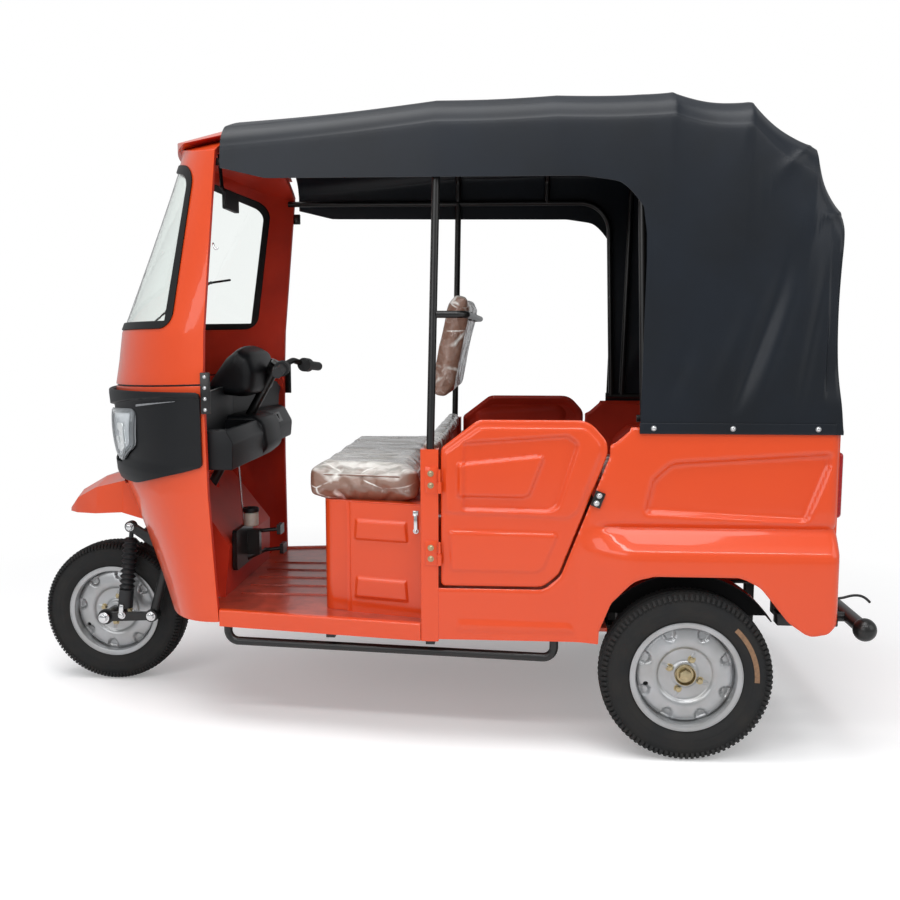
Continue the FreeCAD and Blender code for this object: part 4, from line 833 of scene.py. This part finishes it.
tray = shelf([(0.566, 0.856), (0.562, 0.940), (0.586, 0.984), (0.800, 0.984), (0.800, 0.856)], 0.118, 0.500, 0.006)
room = block((0.196, 0.300, 0.140), (0.690, 0.302, 0.940), soft=0.010)
modify(tray, "BOOLEAN", operation="DIFFERENCE", object=room)
bpy.data.objects.remove(room, do_unlink=True)
column_cover = shelf([(0.548, 0.880), (0.562, 0.974), (0.598, 0.998), (0.800, 0.996), (0.800, 0.832), (0.610, 0.832)],
                     -0.120, 0.122, 0.022)
switch_box = shelf([(0.606, 0.866), (0.600, 0.930), (0.630, 0.986), (0.660, 0.998), (0.800, 0.996), (0.800, 0.866)],
                   -0.500, -0.118, 0.010)
dash = settle(joined([tray, column_cover, switch_box]), "dashboard_moulded", moulded_plastic, angle=36)
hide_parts("dashboard")
pressed_copy("backrest_frame", "painted", satin_black)
pressed_copy("engine_block", "cast", satin_black, 0.004)
pedals = pressed_copy("pedal_cluster", "painted", satin_black, 0.0015)
# The plain CAD jar comes off at its foot, and a milky one stands there.
jar_foot = 0.6101
only(pedals)
bpy.ops.object.mode_set(mode="EDIT")
bpy.ops.mesh.select_all(action="DESELECT")
form = bmesh.from_edit_mesh(pedals.data)
bmesh.ops.delete(form, geom=[v for v in form.verts if v.co.z > jar_foot], context="VERTS")
bmesh.update_edit_mesh(pedals.data)
bpy.ops.object.mode_set(mode="OBJECT")
# Milky polyethylene: pale and slightly see-through.
jar_plastic = finish_like("milky_jar_plastic", "B9B6AA", 0.35, ("9A9688", 14, 0.6), Subsurface_Weight=0.2,
                          Coat_Weight=0.2)
jar = cylinder(36, 0.0262, 0.050, (0.606, 0.150, 0.6357))
modify(jar, "BEVEL", width=0.006, segments=3, limit_method="ANGLE")
settle(jar, "fluid_jar", jar_plastic)
cap = cylinder(30, 0.0290, 0.015, (0.606, 0.150, 0.6685))
modify(cap, "BEVEL", width=0.003, segments=2, limit_method="ANGLE")
settle(cap, "fluid_jar_cap", moulded_plastic)

# The film on the seats is drawn as pale crinkles painted as highlights, a painted reflection on the top and a sharp
# clear coat, because loose film is far thinner than a point of the mesh can follow.
# Embossed brown leatherette under clear film: brown sides, a silvery top painted as a reflection, and white creases
# painted as highlights.
leatherette = finish_like("brown_leatherette_in_film_painted_glints", "7C5A4A", 0.42, ("8F6C5A", 60, 0.7), Coat_Weight=1.0,
                          Coat_Roughness=0.05)
grain(leatherette, 2.4, 0.15, kind="ShaderNodeTexVoronoi")


def film(material, crease_mm, painted_glint_colour, painted_reflection_grey, share):
    """Clear film: a few straight white creases painted as highlights, and a silvery rippled top painted as a reflection
    on upward faces.
    """
    tree = material.node_tree
    shader = tree.nodes["Principled BSDF"]
    where = add_node(tree, "ShaderNodeTexCoord")
    drawn = add_node(tree, "ShaderNodeMapping", {"Scale": (0.45, 0.8, 1.0), "Rotation": (0, 0.5, 0.3)},
                     {"Vector": where.outputs["Object"]})
    bent = add_node(tree, "ShaderNodeTexNoise", {"Scale": 1000.0 / 90, "Detail": 3.0},
                    {"Vector": where.outputs["Object"]})
    amount, heights = None, []
    # The crease lines are painted pale as highlights.
    for size, thin in ((crease_mm, 0.012), (crease_mm * 0.45, 0.010)):
        cells = add_node(tree, "ShaderNodeTexVoronoi", {"Scale": 1000.0 / size}, {"Vector": drawn.outputs[0]},
                         feature="DISTANCE_TO_EDGE")
        line = add_node(tree, "ShaderNodeMapRange", {"From Max": thin * 3, "To Min": 1.0, "To Max": 0.0},
                        {"Value": cells.outputs["Distance"]})
        heights.append(cells.outputs["Distance"])
        gaps = add_node(tree, "ShaderNodeMapRange", {"From Min": 0.50, "From Max": 0.60}, {"Value": bent.outputs[0]})
        part = add_node(tree, "ShaderNodeMath", links={0: line.outputs[0], 1: gaps.outputs[0]}, operation="MULTIPLY")
        amount = part.outputs[0] if amount is None else add_node(tree, "ShaderNodeMath", operation="MAXIMUM",
                                                                 links={0: amount, 1: part.outputs[0]}).outputs[0]
    # Faces that turn upwards get a painted reflection, as much as share.
    facing = add_node(tree, "ShaderNodeNewGeometry")
    up = add_node(tree, "ShaderNodeSeparateXYZ", links={0: facing.outputs["Normal"]})
    painted_top_reflection = add_node(tree, "ShaderNodeMapRange", {"From Min": 0.25, "From Max": 0.80, "To Max": share},
                    {"Value": up.outputs["Z"]})
    long = add_node(tree, "ShaderNodeMapping", {"Scale": (0.30, 1.0, 1.0)}, {"Vector": where.outputs["Object"]})
    ripple = add_node(tree, "ShaderNodeTexNoise", {"Scale": 1000.0 / 38, "Detail": 5.0, "Distortion": 1.2},
                      {"Vector": long.outputs[0]})
    patch = add_node(tree, "ShaderNodeMapRange", {"From Min": 0.36, "From Max": 0.60}, {"Value": ripple.outputs[0]})
    painted_reflection_tone = add_node(tree, "ShaderNodeMix", links={0: patch.outputs[0]}, data_type="RGBA")
    painted_reflection_tone.inputs[6].default_value = linear(painted_reflection_grey)
    painted_reflection_tone.inputs[7].default_value = linear(painted_glint_colour)
    base = shader.inputs["Base Color"]
    with_painted_reflection = add_node(tree, "ShaderNodeMix", data_type="RGBA",
                    links={0: painted_top_reflection.outputs[0], 6: base.links[0].from_socket, 7: painted_reflection_tone.outputs[2]})
    mix = add_node(tree, "ShaderNodeMix", links={0: amount, 6: with_painted_reflection.outputs[2]}, data_type="RGBA")
    mix.inputs[7].default_value = linear(painted_glint_colour)
    tree.links.new(mix.outputs[2], base)
    both = add_node(tree, "ShaderNodeMath", links={0: heights[0], 1: heights[1]}, operation="ADD")
    bump = add_node(tree, "ShaderNodeBump", {"Strength": 1.0, "Distance": 0.040}, {"Height": both.outputs[0]})
    again = add_node(tree, "ShaderNodeBump", {"Strength": 1.0, "Distance": 0.006},
                     {"Height": ripple.outputs[0], "Normal": bump.outputs["Normal"]})
    tree.links.new(again.outputs["Normal"], shader.inputs["Coat Normal"])


# Painted highlights along the creases and a painted reflection on the seat tops.
film(leatherette, 190, "F2F0EA", "A09D96", 0.92)
crumple = bpy.data.textures.new("crumple", "VORONOI")
crumple.noise_scale = 0.11
crumple.distance_metric = "DISTANCE"


def stuffed(node, swell, inset, creases, voxel=0.006):
    """A pad blown up from its CAD solid by a short cloth simulation."""
    piece = cleaned(cad_copy(node), 0.00002)
    modify(piece, "REMESH", mode="VOXEL", voxel_size=voxel)
    modify(piece, "DISPLACE", strength=-inset, mid_level=0.0)
    modify(piece, "SMOOTH", factor=0.5, iterations=10)
    start = [v.co.copy() for v in piece.data.vertices]
    only(piece)
    cloth = piece.modifiers.new("cloth", "CLOTH")
    cloth.settings.use_pressure = True
    cloth.settings.uniform_pressure_force = 4
    cloth.settings.effector_weights.gravity = 0
    cloth.settings.tension_stiffness = 12
    cloth.settings.quality = 4
    for step in range(1, 19):
        bpy.context.scene.frame_set(step)
    bpy.ops.object.modifier_apply(modifier="cloth")
    bpy.context.scene.frame_set(1)
    for v, old in zip(piece.data.vertices, start):
        move = v.co - old
        if move.length > swell:
            v.co = old + move.normalized() * swell
    modify(piece, "SMOOTH", factor=0.5, iterations=4)
    modify(piece, "DISPLACE", texture=crumple, texture_coords="OBJECT", strength=creases, mid_level=0.5)
    settle(piece, node + "_padded", leatherette, angle=60)
    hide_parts(node)
    return piece


def tube_along(name, points, radius, material, closed=False):
    """A round bar, wire or welt along a smooth line of points."""
    line = bpy.data.curves.new(name, "CURVE")
    line.dimensions = "3D"
    spline = line.splines.new("NURBS")
    spline.points.add(len(points) - 1)
    for spot, point in zip(spline.points, points):
        spot.co = (*point, 1.0)
    spline.order_u = 3
    spline.use_cyclic_u = closed
    spline.use_endpoint_u = not closed
    line.resolution_u = 6
    line.bevel_depth = radius
    line.bevel_resolution = 4
    line.use_fill_caps = True
    thing = bpy.data.objects.new(name, line)
    bpy.context.collection.objects.link(thing)
    only(thing)
    bpy.ops.object.convert(target="MESH")
    return settle(bpy.context.active_object, name, material)


cushion = stuffed("driver_cushion", 0.022, 0.012, 0.007)
# A sewn welt runs round the driver's cushion.
cushion_skin = BVHTree.FromPolygons([v.co for v in cushion.data.vertices], [f.vertices for f in cushion.data.polygons])
cushion_middle = Vector((0.14, 0, 0.838))
points = []
for k in range(60):
    turn = 2 * math.pi * k / 60
    way = Vector((math.cos(turn), math.sin(turn), 0))
    place = cushion_skin.ray_cast(cushion_middle + way * 1.2, -way)[0]
    if place:
        points.append(place + way * 0.0010)
tube_along("driver_cushion_welt", points, 0.0036, leatherette, closed=True)
stuffed("driver_backrest", 0.016, 0.009, 0.006)
stuffed("partition_pad", 0.008, 0.004, 0.004)
stuffed("passenger_bench", 0.016, 0.008, 0.003, voxel=0.009)


# Doors.
# Hollow pressed steel half doors in the same enamel. A raised upper half, two
# swaged fields and a rolled edge are pressed into the outer skin.
door_line = rounded([(-0.104, 0.520), (-0.414, 0.520), (-0.462, 0.560), (-0.602, 0.926), (-0.602, 0.966),
                     (-0.545, 1.030), (-0.216, 1.030), (-0.104, 0.944)],
                    [0.010, 0.050, 0.060, 0.050, 0.060, 0.075, 0.050, 0.020])
u, v, faces = lattice(numpy.linspace(-0.606, -0.100, 108), numpy.linspace(0.516, 1.034, 111))
edge = depth_inside(door_line, u, v)
upper_half = rounded([(-0.112, 0.742), (-0.488, 0.728), (-0.520, 0.752), (-0.586, 0.930), (-0.584, 0.962),
                      (-0.540, 1.012), (-0.222, 1.012), (-0.112, 0.932)],
                     [0.02, 0.03, 0.03, 0.05, 0.05, 0.06, 0.05, 0.03])
field = rounded([(-0.166, 0.966), (-0.486, 0.990), (-0.524, 0.962), (-0.462, 0.764), (-0.430, 0.748), (-0.166, 0.752)],
                [0.018, 0.03, 0.03, 0.03, 0.03, 0.012])
island = rounded([(-0.150, 0.900), (-0.424, 0.930), (-0.376, 0.800), (-0.356, 0.790), (-0.150, 0.792)],
                 [0.01, 0.016, 0.02, 0.016, 0.01])
lower_pillow = rounded([(-0.124, 0.696), (-0.452, 0.690), (-0.460, 0.672), (-0.420, 0.574), (-0.396, 0.560),
                        (-0.128, 0.562)], [0.02, 0.016, 0.02, 0.03, 0.02, 0.016])
height = 0.0050 * ease(depth_inside(upper_half, u, v), 0.010) - 0.0110 * ease(depth_inside(field, u, v), 0.013)
height += 0.0105 * ease(depth_inside(island, u, v), 0.012) + 0.0065 * ease(depth_inside(lower_pillow, u, v), 0.012)
height -= rolled(edge, 0.006)
door_skin = 0.5945
left_door = trimmed("door", side_points(u, door_skin + height, v), faces, edge)
modify(left_door, "SOLIDIFY", thickness=0.030, offset=1)
settle(left_door, "left_door_enamelled", enamel, "left_door")
# The door's inner faces get the inner enamel, painted deeper red as shade.
second_finish(left_door, shaded_inner_enamel, lambda c, n: n.y < -0.5)
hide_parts("left_door")
right_door = other_side(left_door, "right_door_enamelled", "right_door")
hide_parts("right_door")


# Rear quarters.
# Each side of the passenger body is one deep pressing: a flat upper side with
# a long swaged recess, a waist line, and a skirt that flares over the wheel.
opening_line = rounded([(-0.096, 0.512), (-0.417, 0.512), (-0.468, 0.555), (-0.610, 0.924), (-0.610, 0.969),
                        (-0.549, 1.038), (-0.096, 1.038)], [0.001, 0.055, 0.065, 0.055, 0.065, 0.080, 0.001])
shoulder_line = rounded([(-0.080, 1.060), (-0.080, 0.980), (-0.600, 0.955), (-0.624, 0.962), (-0.668, 1.001),
                         (-0.690, 1.060)], [0.001, 0.001, 0.02, 0.04, 0.03, 0.001])
arch_line = rounded([(-0.578, 0.250), (-0.584, 0.392), (-0.618, 0.484), (-0.682, 0.556), (-0.742, 0.571),
                     (-0.996, 0.571), (-1.052, 0.542), (-1.136, 0.438), (-1.196, 0.396), (-1.250, 0.404),
                     (-1.330, 0.480), (-1.330, 0.250)], [0.001, 0.03, 0.06] + [0.08] * 5 + [0.05, 0.05, 0.001, 0.001])
u, v, faces = lattice(numpy.linspace(-1.2850, -0.0960, 166), numpy.linspace(0.352, 1.0100, 95))
flare = 0.050 * ease(-0.500 - u, 0.190)
rise = numpy.interp(v, [0.35, 0.600, 0.622, 0.640, 0.665, 0.690, 0.706, 0.722, 0.760, 1.01],
                    [1.0, 1.0, 0.99, 0.93, 0.60, 0.20, 0.06, 0.03, 0.06, -0.02])
waist = -0.012 * numpy.exp(-((v - 0.708) / 0.010) ** 2) * ease(-0.560 - u, 0.06)
recess = rounded([(-0.706, 0.746), (-0.730, 0.858), (-0.790, 0.912), (-1.262, 0.944), (-1.262, 0.900), (-1.196, 0.724)],
                 [0.02, 0.05, 0.06, 0.03, 0.03, 0.03])
height = flare * rise + waist - 0.0160 * ease(depth_inside(recess, u, v), 0.020)
band = rounded([(-0.150, 0.375), (-0.152, 0.415), (-0.500, 0.410), (-0.520, 0.375)], 0.012)
height += 0.004 * ease(depth_inside(band, u, v), 0.012)
edge = numpy.min([-depth_inside(line, u, v) for line in (opening_line, shoulder_line, arch_line)], axis=0)
height -= rolled(edge, 0.005) + rolled(1.0100 - v, 0.007)
height -= rolled(u + 1.2850, 0.034)
quarter_skin = 0.5985
quarter = trimmed("quarter", side_points(u, quarter_skin + height, v), faces, edge)
modify(quarter, "SOLIDIFY", thickness=0.019, offset=1)
settle(quarter, "left_quarter_enamelled", enamel)
# The quarter's inner faces get the inner enamel, painted deeper red as shade.
second_finish(quarter, shaded_inner_enamel, lambda c, n: n.y < -0.4)
right_quarter = other_side(quarter, "right_quarter_enamelled")
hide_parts("quarter_panels")
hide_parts("quarter_panels")

pressed_copy("tail_panel", "enamelled", enamel, 0.0025)
# Near-black and rough: the faces inside the rear arch are painted black as shade, so the arch reads as a hole.
arch_shade_black = finish_like("arch_painted_shade_black", "0B0B0C", 0.75, grained=(5.0, 0.4), Specular_IOR_Level=0.2)
# The rear deck is inner enamel, painted deeper red as shade.
deck = pressed_copy("rear_deck", "enamelled", shaded_inner_enamel, 0.0015)
# The faces inside the rear arch get the black painted shade.
second_finish(deck, arch_shade_black, lambda c, n: c.z < 0.66 and -1.25 < c.x < -0.45 and n.z < 0.5)
# Prismatic acrylic: deep red with small glints.
red_lens = finish_like("red_lens", "B01217", 0.12, Transmission_Weight=0.3, IOR=1.49)
grain(red_lens, 9.0, 0.8, kind="ShaderNodeTexVoronoi")
pressed_copy("tail_lamps", "moulded", red_lens, 0.002)
pressed_copy("rear_bumper", "painted", satin_black, 0.001)
pressed_copy("chassis_frame", "painted", satin_black, 0.0012)
# Painted casting: rough dark grey with brown dust.
cast_iron = finish_like("cast_axle_iron", "1F2021", 0.62, ("3A332D", 70, 0.5), (2.0, 0.2), Metallic=0.2)
pressed_copy("rear_axle", "cast", cast_iron, 0.0012)


# Hood tubes and hood.
# Near-black coated vinyl, stretched over tube bows, with a sewn hem that is
# pressed on to studs. It ridges at each bow and folds behind the door.
# Calendered PVC on cloth: blue-black with a soft sheen and a fine grain.
vinyl = finish_like("coated_vinyl", "0A1017", 0.40, ("101822", 260, 0.8), Specular_IOR_Level=0.30)
grain(vinyl, 2.2, 0.10, kind="ShaderNodeTexVoronoi")
pressed_copy("hood_rails", "painted", satin_black)
pressed_copy("hood_bows", "painted", satin_black)
bow_set = [(0.567, 0.567, 1.9840, 1.9180, 0.550), (-0.081, -0.081, 2.0340, 1.9780, 0.566),
           (-0.443, -0.443, 2.0385, 1.9860, 0.572), (-0.783, -0.760, 2.0385, 1.9880, 0.574),
           (-1.016, -0.960, 2.0120, 1.9560, 0.574), (-1.205, -1.130, 1.8780, 1.8220, 0.570),
           (-1.2963, -1.2903, 1.6720, 1.6180, 0.564)]
sags = [0.004, 0.003, 0.004, 0.012, 0.013, 0.015]
hood_foot = 0.992


def hood_section(bow, sag):
    """Half section of the hood, from its hem up to the middle of the roof."""
    top_x, hem_x, crown, shoulder, side = bow
    half = [(0.6025, hood_foot), (0.6025, 1.020), (0.6000, 1.080), (side + 0.014, 1.30 if shoulder > 1.7 else 1.2)]
    half += [(side, shoulder - 0.150), (side - 0.012, shoulder - 0.060), (side - 0.046, shoulder - 0.016)]
    half += [(side - 0.100, shoulder + 0.008), (side * 0.5, crown - 0.014), (side * 0.2, crown - 0.002), (0.0, crown)]
    line = []
    for k in range(len(half) - 1):
        a, b = half[max(k - 1, 0)], half[k]
        c, d = half[k + 1], half[min(k + 2, len(half) - 1)]
        for step in range(8):
            t = step / 8
            y, z = [0.5 * (2 * b[i] + (c[i] - a[i]) * t + (2 * a[i] - 5 * b[i] + 4 * c[i] - d[i]) * t * t
                           + (3 * b[i] - a[i] - 3 * c[i] + d[i]) * t ** 3) for i in (0, 1)]
            line.append((y, z))
    line.append(half[-1])
    section = []
    for y, z in line:
        share = clamp((z - hood_foot) / (crown - hood_foot))
        pull = sag * clamp((share - 0.45) / 0.4)
        turned = clamp((-0.80 - top_x) / 0.40)
        back = Vector((turned, 0, turned - 1.35)).normalized() * pull
        inward = pull * clamp(abs(y) / 0.5) * 0.5
        section.append(Vector((hem_x + (top_x - hem_x) * share, y - inward, z)) + back)
    return section


def pushed(x, z, lines, across, down):
    """How far slanting lines push the vinyl out. Each has two ends, a width and a depth."""
    push = 0.0
    for (x0, z0), (x1, z1), width, depth in lines:
        run, rise = x1 - x0, z1 - z0
        share = clamp(((x - x0) * run + (z - z0) * rise) / (run * run + rise * rise))
        away = abs((x - x0) * rise - (z - z0) * run) / math.hypot(run, rise)
        push += depth * across(away / width) * down(share)
    return push


# Soft folds behind the door, and short ridges where the bows press outwards.
folds = [((-1.125, 1.50), (-0.965, 1.05), 0.017, -0.014), ((-1.160, 1.48), (-1.020, 1.05), 0.020, 0.006),
         ((-1.060, 1.46), (-0.900, 1.10), 0.024, 0.005), ((-1.235, 1.52), (-1.150, 1.05), 0.016, -0.005),
         ((-0.860, 1.30), (-0.770, 1.08), 0.024, -0.003)]
ridges = [((-1.200, 1.850), (-0.960, 1.640), 0.013, 0.016), ((-1.296, 1.640), (-1.060, 1.592), 0.013, 0.016),
          ((-1.012, 2.010), (-0.972, 1.780), 0.013, 0.014), ((-0.782, 2.040), (-0.780, 1.800), 0.012, 0.010),
          ((-0.690, 2.040), (-0.690, 1.820), 0.010, 0.006)]


def back_swell(z):
    """Share of the back's outward swell at one height."""
    return math.sin(math.pi * clamp((z - 1.0) / 0.66)) ** 0.9


rows = []
for k in range(len(bow_set) - 1):
    for step in range(24):
        t = step / 24
        mix = [a + (b - a) * t for a, b in zip(bow_set[k], bow_set[k + 1])]
        if k == len(bow_set) - 2 and step > 21:
            mix[4] -= 0.006
        rows.append(hood_section(mix, sags[k] * math.sin(math.pi * t)))
rows.append([p - Vector((0, 0.020 if p.z < 1.60 else 0.008, 0)) for p in hood_section(bow_set[-1], 0.0)])
for k, row in enumerate(rows[-12:]):
    for point in row:
        if point.z < 1.64:
            point.x += (0.030 if k == 11 else 0.002 * (k + 1)) * back_swell(point.z)
for row in rows:
    for point in row:
        if point.y > 0.5 and point.z < 1.75:
            point.y += pushed(point.x, point.z, folds, lambda a: math.exp(-a ** 2),
                              lambda t: math.sin(math.pi * t) ** 0.7)
        if point.y > 0.42 and point.x < -0.62:
            out = pushed(point.x, point.z, ridges, lambda a: math.exp(-a), lambda t: (1 - t) ** 1.2)
            point.y += 0.9 * out * min((point.y - 0.42) / 0.05, 1)
count = len(rows[0])
points, faces = [], []
for row in rows:
    points += row + [Vector((p.x, -p.y, p.z)) for p in reversed(row[:-1])]
span = 2 * count - 1
for i in range(len(rows) - 1):
    for j in range(span - 1):
        faces.append((i * span + j, i * span + j + 1, (i + 1) * span + j + 1, (i + 1) * span + j))
base = (len(rows) - 1) * span
columns = 26
previous = None
for j in range(count - 1):
    left, right = points[base + j], points[base + span - 1 - j]
    ring = [base + j]
    for c in range(1, columns):
        t = c / columns
        dent = 0.010 * math.sin(math.pi * t) * math.sin(math.pi * clamp((left.z - 1.0) / 0.66))
        round_off = 0.012 * (1 - min(min(t, 1 - t) * columns / 2, 1)) * (left.z < 1.62)
        points.append(left.lerp(right, t) + Vector((dent - 0.006 + round_off, 0, 0)))
        ring.append(len(points) - 1)
    ring.append(base + span - 1 - j)
    if previous:
        faces += [(previous[c], previous[c + 1], ring[c + 1], ring[c]) for c in range(columns)]
    previous = ring
crown_row = base + count - 1
for c in range(columns):
    faces.append((previous[c], previous[c + 1], crown_row))
x = numpy.array([p.x for p in points])
z = numpy.array([p.z for p in points])
doorway = rounded([(0.90, 0.60), (0.90, 1.783), (0.567, 1.783), (0.430, 1.750), (-0.524, 1.744), (-0.640, 1.726),
                   (-0.702, 1.650), (-0.708, 1.540), (-0.696, 1.000), (-0.690, 0.60)],
                  [0.001, 0.001, 0.03, 0.06, 0.08, 0.09, 0.09, 0.09, 0.05, 0.001])
hood = trimmed("hood", points, faces, -depth_inside(doorway, x, z))
cleaned(hood, outwards=True)
modify(hood, "SOLIDIFY", thickness=0.0030, offset=-1)
settle(hood, "hood_vinyl", vinyl, angle=50)
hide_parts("hood")

# A doubled hem is sewn along the foot of the hood and pressed on to studs.
for side, word in sides:
    hem = [(x, 0.6048 * side, z) for x in numpy.linspace(-0.694, -1.262, 30) for z in (0.9925, 1.0020, 1.0180, 1.0245)]
    strip = cleaned(mesh_of("hem", hem, ladder(30)), outwards=True)
    modify(strip, "SOLIDIFY", thickness=0.0028, offset=0)
    modify(strip, "BEVEL", width=0.0010, segments=2, limit_method="ANGLE")
    settle(strip, "hood_hem_" + word, vinyl, angle=60)


def domes(name, spots, radius, way, material=chrome):
    """Round-headed fixings at a list of places, all facing one way."""
    made = []
    turn = Vector(way).to_track_quat("Z", "Y").to_euler()
    for spot in spots:
        bpy.ops.object.select_all(action="DESELECT")
        bpy.ops.mesh.primitive_uv_sphere_add(segments=16, ring_count=10, radius=radius, location=spot, rotation=turn)
        made.append(bpy.context.active_object)
        made[-1].scale = (1, 1, 0.55)
        bpy.ops.object.transform_apply(location=False, rotation=False, scale=True)
        made.append(cylinder(20, radius * 1.35, 0.0016, spot, turn))
    return settle(joined(made), name, material)


for side, word in sides:
    domes("hem_studs_" + word, [(px, 0.6068 * side, 1.009) for px in (-0.735, -0.965, -1.210)], 0.0062, (0, side, 0))
domes("hem_studs_tail", [(-1.2955, py, 1.009) for py in (-0.42, -0.14, 0.14, 0.42)], 0.0062, (-1, 0, 0))


# Small fittings.
# Zinc and chrome bolts on the hinges, latch plates and cab brackets, the
# over-centre latch on the seat box, switches, levers and the tail rod.
for side, word in sides:
    domes("hinge_bolts_" + word, [(-0.073, 0.6035 * side, pz) for pz in (0.867, 0.831, 0.639, 0.605)], 0.0070,
          (0, side, 0), zinc_yellow)
    leaves = [block((0.036, 0.0030, 0.078), (-0.074, 0.6010 * side, pz), soft=0.001) for pz in (0.849, 0.622)]
    settle(joined(leaves), "hinge_leaves_" + word, enamel)
    striker = block((0.030, 0.010, 0.048), (-0.5755, 0.6030 * side, 0.794), (0, -0.36, 0), 0.0015)
    settle(striker, "latch_plate_" + word, satin_black)
    domes("latch_bolts_" + word, [(-0.579, 0.6090 * side, 0.806), (-0.571, 0.6090 * side, 0.783)], 0.0064, (0, side, 0))
    plate = block((0.030, 0.0070, 0.128), (0.630, 0.5500 * side, 1.103), soft=0.0012)
    settle(plate, "cab_bracket_" + word, satin_black)
    domes("cab_bracket_bolts_" + word, [(0.631, 0.5540 * side, pz) for pz in (1.154, 1.120, 1.086, 1.052)], 0.0045,
          (0, side, 0))
latch = [block((0.012, 0.008, 0.050), (-0.018, 0.5125, 0.700), soft=0.0015),
         block((0.018, 0.006, 0.016), (-0.018, 0.5105, 0.728), soft=0.001)]
settle(joined(latch), "seat_latch", chrome)
domes("seat_latch_bolt", [(-0.018, 0.5130, 0.672)], 0.0065, (0, 1, 0))
damper_nuts = []
for side in (1, -1):
    damper_nuts += hex_nut((1.063, side * 0.1105, 0.592), 0.020, 0.014, side)
    damper_nuts.append(block((0.016, 0.010, 0.036), (1.099, side * 0.1290, 0.290), (0, -0.1, 0), 0.002))
settle(joined(damper_nuts), "damper_clevises", chrome, "steering", 35)
for side, word in sides:
    bracket = block((0.185, 0.050, 0.040), (-1.235, side * 0.470, 0.405), soft=0.003)
    settle(bracket, "bumper_bracket_" + word, satin_black)
tube_along("tail_rod", [(-1.262, 0.545, 0.484), (-1.312, 0.550, 0.489), (-1.350, 0.552, 0.503),
                        (-1.385, 0.552, 0.498), (-1.400, 0.552, 0.480)], 0.0040, satin_black)
tube_along("cab_hook", [(0.596, 0.540, 1.560), (0.590, 0.552, 1.548), (0.583, 0.556, 1.538), (0.578, 0.552, 1.546)],
           0.0028, bright_strip)
settle(block((0.028, 0.012, 0.040), (0.578, -0.548, 1.750), soft=0.002), "hood_bracket_right", satin_black)
switches = [block((0.008, 0.110, 0.040), (0.6135, -0.290, 0.958), (0, 0.42, 0), 0.002)]
switches += [block((0.012, 0.026, 0.022), (0.6125, py, 0.960), (0, tip, 0), 0.002)
             for py, tip in ((-0.262, 0.55), (-0.300, 0.30))]
settle(joined(switches), "dash_switches", satin_black)
tube_along("pedal_rod", [(0.640, 0.118, 0.60), (0.648, 0.116, 0.70), (0.655, 0.110, 0.80), (0.662, 0.106, 0.86)],
           0.0035, bright_strip)
